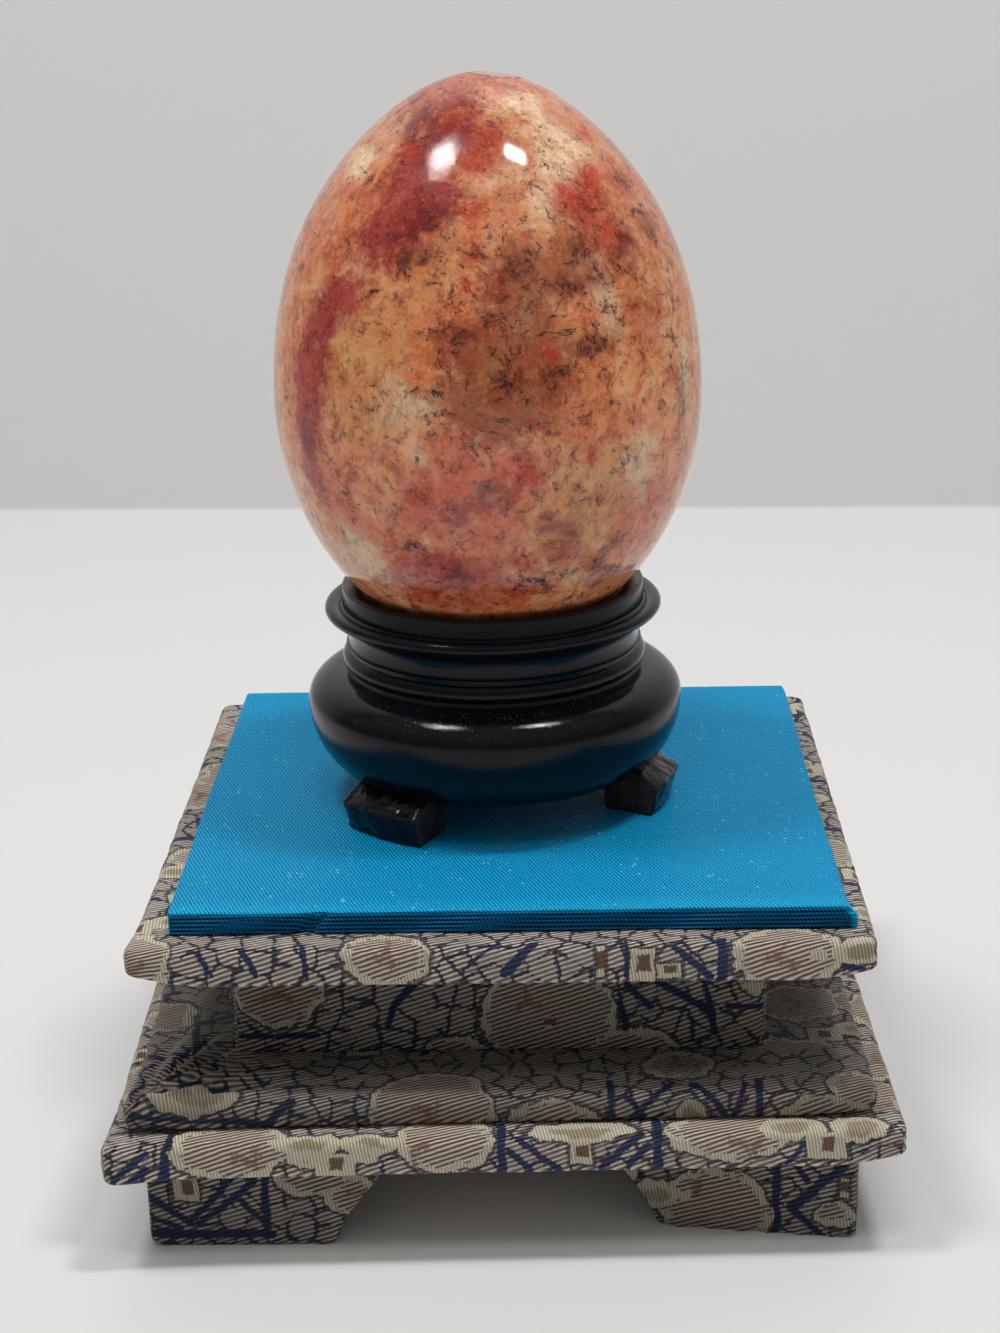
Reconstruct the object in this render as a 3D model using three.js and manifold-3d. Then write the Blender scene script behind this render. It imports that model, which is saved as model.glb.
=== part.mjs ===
// A polished marble egg in a black turned stand with three feet, on a stepped display plinth
// of card boards covered in brocade. Millimetres, +Z up.
// The origin is on the table, under the middle of the plinth's lowest board. -Y is the front.
import * as THREE from 'three';
import { mergeVertices } from 'three/addons/utils/BufferGeometryUtils.js';
import Module from 'manifold-3d';

// Plinth: the boards are square cards with their cloth drawn round the edges
const bottomBoardWidth = 101.8;
const bottomBoardThickness = 5.5;
const middleBoardWidth = 95.6;
const middleBoardThickness = 4.1;
const riserWidth = 70.4;
const riserHeight = 15.65;
const topBoardWidth = 94;
const topBoardThickness = 5.6;
const panelWidth = 86;
const panelThickness = 2.5;
const wrapRadius = 1.2;
const boardCornerRadius = 2;
const riserCornerRadius = 1.6;
const panelEdgeRadius = 0.8;
const panelCornerRadius = 1.8;

// The glued boards are not quite centred on each other: these are their offsets to the right,
// and the turns of the two lowest ones against the rest, in degrees
const middleBoardShift = -0.3;
const riserShift = 0.1;
const topBoardShift = 1;
const panelShift = 1.5;
const standShift = -0.4;
const bottomBoardTurn = 1.3;
const middleBoardTurn = 1.3;

// Card feet: an L of two wings under each corner of the lowest board, the front right one cut longer
const footHeight = 12.65;
const footInset = 4.7;
const feetShift = 0.1;
const footCardThickness = 3;
const footTopLength = 32.4;
const footShoulderLength = 26.4;
const footShoulderHeight = 4.4;
const footSoleLength = 24.8;
const footSoleRadius = 1.5;
const frontLeftFootTurn = -1;
const frontRightFootTurn = -8;
const frontRightFootExtra = 1.6;

// Turned stand: radii and heights above the stand's sole
const bulgeRadius = 26.2;
const bulgeMiddleHeight = 14.7;
const bulgeUpperDrop = 4.3;
const bulgeLowerDrop = 9.8;
const bulgeFootRadius = 19.2;
const undersideHeight = 4.4;
const lowerGrooveRadius = 20.6;
const beadRadius = 21.15;
const beadHeight = 20.75;
const beadHalfHeight = 1.55;
const upperGrooveRadius = 20.25;
const coveHeight = 3.9;
const coveDepth = 0.9;
const flangeRadius = 23.4;
const flangeHeight = 1.9;
const flangeTopDip = 0.65;
const collarRadius = 20.9;
const collarHeight = 2.9;
const lipWidth = 0.75;
const lipRound = 0.35;
const cupMouthFlare = 1;
const cupMouthDepth = 0.35;

// The three sawn feet of the stand: the angle of each round from the front, in degrees, and its width
const standFeet = [[-39, 14.2], [72.5, 11.8], [197, 13]];
const standFootTaper = 4;
const standFootInnerRadius = 17.5;
const standFootSoleRadius = 24.7;
const standFootRidgeRadius = 25.8;
const standFootRidgeHeight = 4;
const standFootBevelRise = 2.2;
const standFootBevelRun = 3;

// Marble egg: an ellipse below its widest ring, and a slimmer, longer one above it
const eggRadius = 28.9;
const eggLowerHeight = 35.2;
const eggUpperHeight = 41.7;
const eggPointedness = 0.168;
const eggSeatGap = 0.3;

// Fineness of the faceted solids
const turnedSides = 56;
const eggRows = 22;
const cupRows = 7;
const arcSteps = 3;

const wasm = await Module();
wasm.setup();

// Levels above the table, from the feet up
const bottomBoardLevel = footHeight;
const middleBoardLevel = bottomBoardLevel + bottomBoardThickness;
const riserLevel = middleBoardLevel + middleBoardThickness;
const topBoardLevel = riserLevel + riserHeight;
const panelLevel = topBoardLevel + topBoardThickness;
const standLevel = panelLevel + panelThickness;

// Heights above the stand's sole, from the bulge up
const bulgeTopHeight = bulgeMiddleHeight + bulgeUpperDrop;
const beadTopHeight = beadHeight + beadHalfHeight * 1.5;
const flangeLowHeight = beadTopHeight + coveHeight;
const flangeMiddleHeight = flangeLowHeight + flangeHeight * 0.4;
const flangeTopHeight = flangeLowHeight + flangeHeight;
const collarFootHeight = flangeTopHeight - flangeTopDip;
const lipHeight = collarFootHeight + collarHeight;
const lipOuterRadius = collarRadius - lipRound;
const cupMouthRadius = lipOuterRadius - lipWidth;

// The cup is the egg's own curve, set off by the seat gap: this angle of it reaches the flared mouth
const cupRadius = eggRadius + eggSeatGap;
const cupHeight = eggLowerHeight + eggSeatGap;
const cupAngle = Math.asin((cupMouthRadius - cupMouthFlare) / cupRadius);
const eggMiddleHeight = lipHeight - cupMouthDepth + cupHeight * Math.cos(cupAngle);

const marble = new THREE.MeshStandardMaterial({ color: 0xc8733f, roughness: 0.15, metalness: 0 });
const lacquer = new THREE.MeshStandardMaterial({ color: 0x0b0b0d, roughness: 0.15, metalness: 0 });
const satin = new THREE.MeshStandardMaterial({ color: 0x1287cf, roughness: 0.5, metalness: 0 });
const brocade = new THREE.MeshStandardMaterial({ color: 0x9c9183, roughness: 0.8, metalness: 0 });

// A closed geometry as a solid that can be joined and cut
function solidOf(geometry) {
  const bare = geometry.index ? geometry.toNonIndexed() : geometry.clone();
  bare.deleteAttribute('normal');
  bare.deleteAttribute('uv');
  const merged = mergeVertices(bare, 1e-4);
  const corners = merged.index.array;
  const kept = [];
  for (let i = 0; i < corners.length; i += 3) {
    const [a, b, c] = [corners[i], corners[i + 1], corners[i + 2]];
    if (a !== b && b !== c && c !== a) kept.push(a, b, c);
  }
  return new wasm.Manifold(new wasm.Mesh({
    numProp: 3,
    vertProperties: new Float32Array(merged.attributes.position.array),
    triVerts: new Uint32Array(kept),
  }));
}

// A joined or cut solid as a geometry for a mesh
function geometryOf(solid) {
  const mesh = solid.getMesh();
  const geometry = new THREE.BufferGeometry();
  geometry.setAttribute('position', new THREE.BufferAttribute(new Float32Array(mesh.vertProperties), 3));
  geometry.setIndex(new THREE.BufferAttribute(new Uint32Array(mesh.triVerts), 1));
  geometry.computeVertexNormals();
  return geometry;
}

// Points of an elliptical arc in the profile plane, angles in degrees from the outward direction
function arc(centreRadius, centreHeight, across, up, fromAngle, toAngle, steps) {
  const points = [];
  for (let i = 0; i <= steps; i += 1) {
    const angle = THREE.MathUtils.degToRad(fromAngle + (toAngle - fromAngle) * i / steps);
    const radius = centreRadius + across * Math.cos(angle);
    points.push(new THREE.Vector2(radius, centreHeight + up * Math.sin(angle)));
  }
  return points;
}

// A closed turned body about +Z from profile points that run from the bottom of the axis upwards
function turned(points) {
  const geometry = new THREE.LatheGeometry(points, turnedSides);
  geometry.rotateX(Math.PI / 2);
  return geometry;
}

// A square with rounded corners, centred on the origin
function roundedSquare(width, cornerRadius) {
  const half = width / 2;
  const shape = new THREE.Shape();
  shape.moveTo(-half + cornerRadius, -half);
  shape.absarc(half - cornerRadius, -half + cornerRadius, cornerRadius, -Math.PI / 2, 0, false);
  shape.absarc(half - cornerRadius, half - cornerRadius, cornerRadius, 0, Math.PI / 2, false);
  shape.absarc(-half + cornerRadius, half - cornerRadius, cornerRadius, Math.PI / 2, Math.PI, false);
  shape.absarc(-half + cornerRadius, -half + cornerRadius, cornerRadius, Math.PI, Math.PI * 1.5, false);
  return shape;
}

// A card with its cloth drawn round the edges: its underside at z = 0
function wrappedBoard(width, thickness, edgeRadius, cornerRadius) {
  const geometry = new THREE.ExtrudeGeometry(roundedSquare(width, cornerRadius), {
    depth: thickness - 2 * edgeRadius,
    bevelEnabled: true,
    bevelThickness: edgeRadius,
    bevelSize: edgeRadius,
    bevelOffset: -edgeRadius,
    bevelSegments: 2,
    curveSegments: arcSteps,
  });
  geometry.translate(0, 0, edgeRadius);
  return geometry;
}

// The neck block: plain top and bottom, rounded upright edges
function riserGeometry() {
  return new THREE.ExtrudeGeometry(roundedSquare(riserWidth, riserCornerRadius), {
    depth: riserHeight,
    bevelEnabled: false,
    curveSegments: arcSteps,
  });
}

// One wing of a card foot: x runs from the outer corner along the wing, z is up
function footWing(extraLength) {
  const innerSole = footSoleLength + extraLength - footSoleRadius;
  const shape = new THREE.Shape();
  shape.moveTo(0, footHeight);
  shape.lineTo(0, footSoleRadius);
  shape.absarc(footSoleRadius, footSoleRadius, footSoleRadius, Math.PI, Math.PI * 1.5, false);
  shape.lineTo(innerSole, 0);
  shape.absarc(innerSole, footSoleRadius, footSoleRadius, -Math.PI / 2, 0, false);
  shape.lineTo(footShoulderLength + extraLength, footShoulderHeight);
  shape.lineTo(footTopLength + extraLength, footHeight);
  const geometry = new THREE.ExtrudeGeometry(shape, {
    depth: footCardThickness,
    bevelEnabled: false,
    curveSegments: arcSteps,
  });
  geometry.rotateX(Math.PI / 2);
  geometry.translate(0, footCardThickness, 0);
  return geometry;
}

// A card foot: two wings that meet at the outer corner, which is at the origin
function footGeometry(extraLength) {
  const alongX = footWing(extraLength);
  const alongY = footWing(extraLength);
  alongY.translate(0, -footCardThickness, 0);
  alongY.rotateZ(Math.PI / 2);
  return geometryOf(solidOf(alongX).add(solidOf(alongY)));
}

// The egg's radius at a height above or below its widest ring
function eggRadiusAt(height) {
  const share = height > 0 ? height / eggUpperHeight : height / eggLowerHeight;
  const round = eggRadius * Math.sqrt(Math.max(0, 1 - share * share));
  return height > 0 ? round * (1 - eggPointedness * share ** 4) : round;
}

// The egg, its widest ring at z = 0
function eggGeometry() {
  const points = [new THREE.Vector2(0, -eggLowerHeight)];
  for (let row = 1; row < eggRows; row += 1) {
    const swing = Math.sin(Math.PI * (row / eggRows - 0.5));
    const height = swing > 0 ? swing * eggUpperHeight : swing * eggLowerHeight;
    points.push(new THREE.Vector2(eggRadiusAt(height), height));
  }
  points.push(new THREE.Vector2(0, eggUpperHeight));
  return turned(points);
}

// The cup that the egg sits in, from the axis outwards to its flared mouth, above the stand's sole
function cupProfile() {
  const points = [new THREE.Vector2(0, eggMiddleHeight - cupHeight)];
  for (let i = 1; i <= cupRows; i += 1) {
    const angle = cupAngle * i / cupRows;
    const height = eggMiddleHeight - cupHeight * Math.cos(angle);
    points.push(new THREE.Vector2(cupRadius * Math.sin(angle), height));
  }
  points.push(new THREE.Vector2(cupMouthRadius, lipHeight));
  return points;
}

// The turned body of the stand from the underside to the cup, its sole level at z = 0
function standBodyProfile() {
  const bulgeLowerReach = bulgeRadius - bulgeFootRadius;
  const bulgeUpperReach = bulgeRadius - lowerGrooveRadius;
  const noseRadius = flangeHeight / 2;
  const noseRise = flangeTopHeight - flangeMiddleHeight;
  const flangeInnerRadius = flangeRadius - noseRadius;
  const coveRadius = (flangeInnerRadius + upperGrooveRadius) / 2 - coveDepth;
  const dipRadius = (collarRadius + flangeInnerRadius) / 2;
  return [
    new THREE.Vector2(0, undersideHeight),
    new THREE.Vector2(bulgeFootRadius, undersideHeight),
    ...arc(bulgeFootRadius, bulgeMiddleHeight, bulgeLowerReach, bulgeLowerDrop, -90, -15, 6),
    ...arc(lowerGrooveRadius, bulgeMiddleHeight, bulgeUpperReach, bulgeUpperDrop, 0, 75, 5),
    new THREE.Vector2(lowerGrooveRadius, bulgeTopHeight),
    ...arc(beadRadius - beadHalfHeight, beadHeight, beadHalfHeight, beadHalfHeight, -50, 50, 4),
    new THREE.Vector2(upperGrooveRadius, beadTopHeight),
    new THREE.Vector2(coveRadius, (flangeLowHeight + beadTopHeight) / 2),
    new THREE.Vector2(flangeInnerRadius, flangeLowHeight),
    ...arc(flangeInnerRadius, flangeMiddleHeight, noseRadius, noseRise, 0, 80, arcSteps),
    new THREE.Vector2(dipRadius, flangeTopHeight - flangeTopDip * 0.35),
    new THREE.Vector2(collarRadius, collarFootHeight),
    ...arc(lipOuterRadius - lipRound, lipHeight - lipRound, lipRound, lipRound, 0, 90, 2),
    ...cupProfile().reverse(),
  ];
}

// The turned ring that the feet are sawn from, as a closed profile
function footRingProfile() {
  const bevelTop = standFootRidgeHeight + standFootBevelRise;
  return [
    new THREE.Vector2(standFootInnerRadius, 0),
    new THREE.Vector2(standFootSoleRadius, 0),
    new THREE.Vector2(standFootRidgeRadius, standFootRidgeHeight),
    new THREE.Vector2(standFootRidgeRadius - standFootBevelRun, bevelTop),
    new THREE.Vector2(standFootInnerRadius, bevelTop),
    new THREE.Vector2(standFootInnerRadius, 0),
  ];
}

// The block of the foot ring that one foot keeps, pointing along +X and a little larger than the ring
function footBlock(width) {
  const spare = 1;
  const reach = standFootRidgeRadius + spare;
  const start = standFootInnerRadius - spare;
  const innerWidth = width - standFootTaper;
  const shape = new THREE.Shape();
  shape.moveTo(start, -innerWidth / 2);
  shape.lineTo(reach, -width / 2);
  shape.lineTo(reach, width / 2);
  shape.lineTo(start, innerWidth / 2);
  const geometry = new THREE.ExtrudeGeometry(shape, { depth: bulgeMiddleHeight, bevelEnabled: false });
  geometry.translate(0, 0, -spare);
  return geometry;
}

// The whole stand: the turned body with its three feet
function standGeometry() {
  let stand = solidOf(turned(standBodyProfile()));
  const ring = solidOf(turned(footRingProfile()));
  for (const [angle, width] of standFeet) {
    const block = footBlock(width);
    block.rotateZ(THREE.MathUtils.degToRad(angle - 90));
    stand = stand.add(ring.intersect(solidOf(block)));
  }
  return geometryOf(stand);
}

function named(name, geometry, material) {
  const mesh = new THREE.Mesh(geometry, material);
  mesh.name = name;
  return mesh;
}

const object = new THREE.Group();

// Places a piece of the plinth, turned about its own upright axis
function place(name, geometry, material, x, y, level, turn) {
  const piece = named(name, geometry, material);
  piece.position.set(x, y, level);
  piece.rotation.z = THREE.MathUtils.degToRad(turn);
  object.add(piece);
}

// Boards, neck and satin panel, each on the one below
const bottomBoard = wrappedBoard(bottomBoardWidth, bottomBoardThickness, wrapRadius, boardCornerRadius);
const middleBoard = wrappedBoard(middleBoardWidth, middleBoardThickness, wrapRadius, boardCornerRadius);
const topBoard = wrappedBoard(topBoardWidth, topBoardThickness, wrapRadius, boardCornerRadius);
const panel = wrappedBoard(panelWidth, panelThickness, panelEdgeRadius, panelCornerRadius);
place('bottom_board', bottomBoard, brocade, 0, 0, bottomBoardLevel, bottomBoardTurn);
place('middle_board', middleBoard, brocade, middleBoardShift, 0, middleBoardLevel, middleBoardTurn);
place('riser_block', riserGeometry(), brocade, riserShift, 0, riserLevel, 0);
place('top_board', topBoard, brocade, topBoardShift, 0, topBoardLevel, 0);
place('satin_panel', panel, satin, panelShift, 0, panelLevel, 0);

// Card feet: one shape, turned a quarter for each corner
const footReach = bottomBoardWidth / 2 - footInset;
const feet = [
  ['foot_front_left', -1, -1, frontLeftFootTurn, 0],
  ['foot_front_right', 1, -1, 90 + frontRightFootTurn, frontRightFootExtra],
  ['foot_back_right', 1, 1, 180, 0],
  ['foot_back_left', -1, 1, 270, 0],
];
for (const [name, side, depth, turn, extraLength] of feet) {
  const x = feetShift + side * footReach;
  place(name, footGeometry(extraLength), brocade, x, depth * footReach, 0, turn);
}

// Stand and egg share one upright axis
const stand = named('wood_stand', standGeometry(), lacquer);
stand.position.set(standShift, 0, standLevel);
object.add(stand);

const egg = named('marble_egg', eggGeometry(), marble);
egg.position.set(standShift, 0, standLevel + eggMiddleHeight);
object.add(egg);

export default object;
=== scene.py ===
# %% [markdown]
# This lesson dresses a marble egg on its black turned stand and brocade plinth.
# The construction is already fixed in the CAD model, so the first step loads it as a frame.
# Everything that follows is placed by that frame, in metres, and no CAD piece is moved.

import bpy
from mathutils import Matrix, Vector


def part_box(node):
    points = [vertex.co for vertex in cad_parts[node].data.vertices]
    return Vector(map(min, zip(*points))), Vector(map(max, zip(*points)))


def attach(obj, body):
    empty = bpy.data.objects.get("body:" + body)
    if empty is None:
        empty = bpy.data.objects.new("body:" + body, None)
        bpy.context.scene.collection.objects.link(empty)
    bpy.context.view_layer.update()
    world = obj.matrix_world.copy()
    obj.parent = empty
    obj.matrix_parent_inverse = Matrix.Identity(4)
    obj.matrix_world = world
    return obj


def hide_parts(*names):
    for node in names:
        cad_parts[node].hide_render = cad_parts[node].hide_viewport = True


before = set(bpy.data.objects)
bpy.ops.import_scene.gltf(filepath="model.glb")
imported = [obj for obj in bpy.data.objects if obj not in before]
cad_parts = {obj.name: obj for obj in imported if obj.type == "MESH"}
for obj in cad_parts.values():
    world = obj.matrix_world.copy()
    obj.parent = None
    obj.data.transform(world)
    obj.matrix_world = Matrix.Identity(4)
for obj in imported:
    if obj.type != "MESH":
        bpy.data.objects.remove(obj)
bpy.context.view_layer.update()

# %% [markdown]
# The photograph looks slightly down on the front of the plinth from about a third of a metre.
# A camera could be aimed at a target, but the boards' slanted edges show a small roll as well.
# So its place and its three turns are given directly, as they were worked out from those edges.

# %% The camera
import math

import bmesh
import bpy
import numpy as np
from mathutils import Matrix, Vector, noise

MM = 0.001
CAMERA_PLACE = (8.263 * MM, -316.711 * MM, 169.08 * MM)
CAMERA_TURN = (71.653, 1.234, 1.015)
CAMERA_LENS = 64.02

bpy.ops.object.camera_add(location=CAMERA_PLACE, rotation=[math.radians(turn) for turn in CAMERA_TURN])
camera = bpy.context.object
camera.data.lens = CAMERA_LENS
camera.data.clip_start = 0.01
bpy.context.scene.camera = camera
print("camera at", [round(value, 4) for value in camera.location])

# %% [markdown]
# Every piece is modelled as by hand: a primitive is added, opened in edit mode and shaped there.
# An operator works on all that is selected, and the loaded CAD nodes still are.
# These short helpers deselect everything first, and pick vertices or faces by their place.


# %% Helpers for modelling
def rest():
    """Leaves edit mode with nothing selected."""
    if bpy.context.mode != "OBJECT":
        bpy.ops.object.mode_set(mode="OBJECT")
    bpy.ops.object.select_all(action="DESELECT")


def activate(piece):
    """Makes one piece the only selected one."""
    rest()
    piece.select_set(True)
    bpy.context.view_layer.objects.active = piece


def pick(piece, test, faces=False):
    """In edit mode, selects the vertices, or the faces, that pass the test, and counts them."""
    bpy.ops.mesh.select_mode(type="FACE" if faces else "VERT")
    bpy.ops.mesh.select_all(action="DESELECT")
    mesh = bmesh.from_edit_mesh(piece.data)
    chosen = [item for item in (mesh.faces if faces else mesh.verts) if test(item)]
    for item in chosen:
        item.select_set(True)
    mesh.select_flush_mode()
    bmesh.update_edit_mesh(piece.data)
    return len(chosen)


def use_modifier(piece, kind, **settings):
    """Adds a modifier with its settings and applies it."""
    activate(piece)
    modifier = piece.modifiers.new(kind.lower(), kind)
    for name, value in settings.items():
        setattr(modifier, name, value)
    bpy.ops.object.modifier_apply(modifier=modifier.name)


def swell(piece, size, amount):
    """Lets a surface swell and sink a little, size and amount in millimetres."""
    texture = bpy.data.textures.new(piece.name + " swell", "CLOUDS")
    texture.noise_scale = size * MM
    texture.noise_depth = 2
    use_modifier(piece, "DISPLACE", texture=texture, texture_coords="LOCAL", strength=amount * MM, mid_level=0.5)


def hand_over(piece, name, material, slot, *nodes):
    """Names a finished piece, gives it its material, and lets it stand for its CAD nodes."""
    piece.name = name
    piece.data.name = name
    if material is not None:
        piece.data.materials.clear()
        piece.data.materials.append(material)
    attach(piece, "root")
    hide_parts(*nodes)
    print(name, len(piece.data.polygons), "faces")


rest()

# %% [markdown]
# Materials are built from nodes, and wiring each link by hand makes long and dull code.
# These helpers add a node, set or link its inputs in one call, and give back the output.


# %% Helpers for materials
def add_node(tree, kind, values=None, **settings):
    """A new node with its settings, and its inputs set or linked by name or number."""
    new = tree.nodes.new(kind)
    for name, value in settings.items():
        setattr(new, name, value)
    for name, value in (values or {}).items():
        if isinstance(value, bpy.types.NodeSocket):
            tree.links.new(value, new.inputs[name])
        else:
            new.inputs[name].default_value = value
    return new


def maths(tree, operation, *values):
    """One Math node."""
    return add_node(tree, "ShaderNodeMath", dict(enumerate(values)), operation=operation).outputs[0]


def step(tree, value, low, high, start=0.0, end=1.0):
    """A soft step from start to end while the value goes from low to high."""
    inputs = {"Value": value, "From Min": low, "From Max": high, "To Min": start, "To Max": end}
    return add_node(tree, "ShaderNodeMapRange", inputs, interpolation_type="SMOOTHSTEP").outputs[0]


def blend(tree, factor, first, second, kind="MIX"):
    """Two colours mixed by a factor."""
    inputs = {0: factor, 6: first, 7: second}
    return add_node(tree, "ShaderNodeMix", inputs, data_type="RGBA", blend_type=kind).outputs[2]


def clouds(tree, place, scale, detail=4.0, rough=0.55, twist=0.0):
    """Noise between 0 and 1, its scale in waves per unit of place."""
    inputs = {"Vector": place, "Scale": scale, "Detail": detail, "Roughness": rough, "Distortion": twist}
    return add_node(tree, "ShaderNodeTexNoise", inputs).outputs[0]


def vectors(tree, operation, first, second=None, output=0):
    """One Vector Math node."""
    inputs = {0: first} if second is None else {0: first, 1: second}
    return add_node(tree, "ShaderNodeVectorMath", inputs, operation=operation).outputs[output]


def new_material(name):
    """A material that uses nodes, with all its nodes cleared; surface() adds its shader and output."""
    material = bpy.data.materials.new(name)
    material.use_nodes = True
    material.node_tree.nodes.clear()
    return material


def surface(tree, colour, roughness, height=None, bump=0.2, relief=0.0002, **plain):
    """The Principled BSDF, with a Bump node if there is a height, and plain numbers on its sockets."""
    inputs = {"Base Color": colour, "Roughness": roughness}
    inputs.update({name.replace("_", " "): value for name, value in plain.items()})
    if height is not None:
        bump_inputs = {"Strength": bump, "Distance": relief, "Height": height}
        inputs["Normal"] = add_node(tree, "ShaderNodeBump", bump_inputs).outputs[0]
    shader = add_node(tree, "ShaderNodeBsdfPrincipled", inputs)
    add_node(tree, "ShaderNodeOutputMaterial", {"Surface": shader.outputs[0]})


def millimetres(tree, middle):
    """Object coordinates in millimetres from a middle that is given in metres."""
    place = add_node(tree, "ShaderNodeTexCoord").outputs["Object"]
    inputs = {"Vector": place, "Scale": (1000, 1000, 1000), "Location": [-1000 * value for value in middle]}
    return add_node(tree, "ShaderNodeMapping", inputs).outputs[0]


# %% [markdown]
# A node group is a material step with named inputs and outputs, which several materials share.


# %% Helpers for node groups
def new_group(name, inputs, outputs):
    """An empty shader node group: its inputs are vectors or numbers, given as name: kind."""
    group = bpy.data.node_groups.new(name, "ShaderNodeTree")
    for sockets, direction in ((inputs, "INPUT"), (outputs, "OUTPUT")):
        for title, kind in sockets.items():
            group.interface.new_socket(title, in_out=direction, socket_type="NodeSocket" + kind)
    source = group.nodes.new("NodeGroupInput")
    return group, source.outputs


def use_group(tree, group, **values):
    """The outputs of a group with its inputs set or linked by name."""
    user = add_node(tree, "ShaderNodeGroup", node_tree=group)
    for name, value in values.items():
        if isinstance(value, bpy.types.NodeSocket):
            tree.links.new(value, user.inputs[name])
        else:
            user.inputs[name].default_value = value
    return user.outputs


# %% [markdown]
# The egg is turned and polished from one block of stone.
# Spinning a half outline would do, but a sphere already has closed poles and even rings.
# So a sphere is stretched below and above its widest ring, and each upper ring is drawn in
# a little, which gives the pointed end. The tip keeps the small flat that the polisher left.

# %% The egg
EGG_LOWER = 35.2 * MM
EGG_POINTEDNESS = 0.168
EGG_RINGS = 144
EGG_FLAT_DEPTH = 0.3 * MM
EGG_FLAT_TILT = math.radians(7)

egg_low, egg_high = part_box("marble_egg")
egg_radius = (egg_high[0] - egg_low[0]) / 2
egg_middle = Vector(((egg_low[0] + egg_high[0]) / 2, 0, egg_low[2] + EGG_LOWER))
egg_upper = egg_high[2] - egg_middle.z

bpy.ops.mesh.primitive_uv_sphere_add(segments=208, ring_count=EGG_RINGS, radius=egg_radius)
egg = bpy.context.object
bpy.ops.object.mode_set(mode="EDIT")
pick(egg, lambda vertex: vertex.co.z > 0)
bpy.ops.transform.resize(value=(1, 1, egg_upper / egg_radius), center_override=(0, 0, 0))
pick(egg, lambda vertex: vertex.co.z < 0)
bpy.ops.transform.resize(value=(1, 1, EGG_LOWER / egg_radius), center_override=(0, 0, 0))
for ring in range(1, EGG_RINGS // 2):
    share = math.cos(math.pi * ring / EGG_RINGS)
    height = share * egg_upper
    pick(egg, lambda vertex: abs(vertex.co.z - height) < 0.01 * MM)
    drawn = 1 - EGG_POINTEDNESS * share**4
    bpy.ops.transform.resize(value=(drawn, drawn, 1), center_override=(0, 0, 0))
bpy.ops.mesh.select_all(action="SELECT")
flat_normal = (math.sin(EGG_FLAT_TILT), 0, math.cos(EGG_FLAT_TILT))
bpy.ops.mesh.bisect(
    plane_co=(0, 0, egg_upper - EGG_FLAT_DEPTH), plane_no=flat_normal, use_fill=True, clear_outer=True
)
rest()
activate(egg)
egg.location = egg_middle
bpy.ops.object.transform_apply(location=True, rotation=False, scale=False)
bpy.ops.object.shade_smooth_by_angle(angle=math.radians(8))
print("egg radius and heights:", round(egg_radius, 5), EGG_LOWER, round(egg_upper, 5))

# %% [markdown]
# The stone is amber and salmon marble with a crimson band, cream patches, grey clouds and fine
# dark veins that branch like moss. Noise alone can't place these. So every stain is put where it
# lies, by its angle round from the front and its height above the widest ring, and the nearness
# to each kind of stain is stored on the mesh as an attribute that the material can read.
# Hidden sides get a few broad stains of the same kinds.

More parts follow.
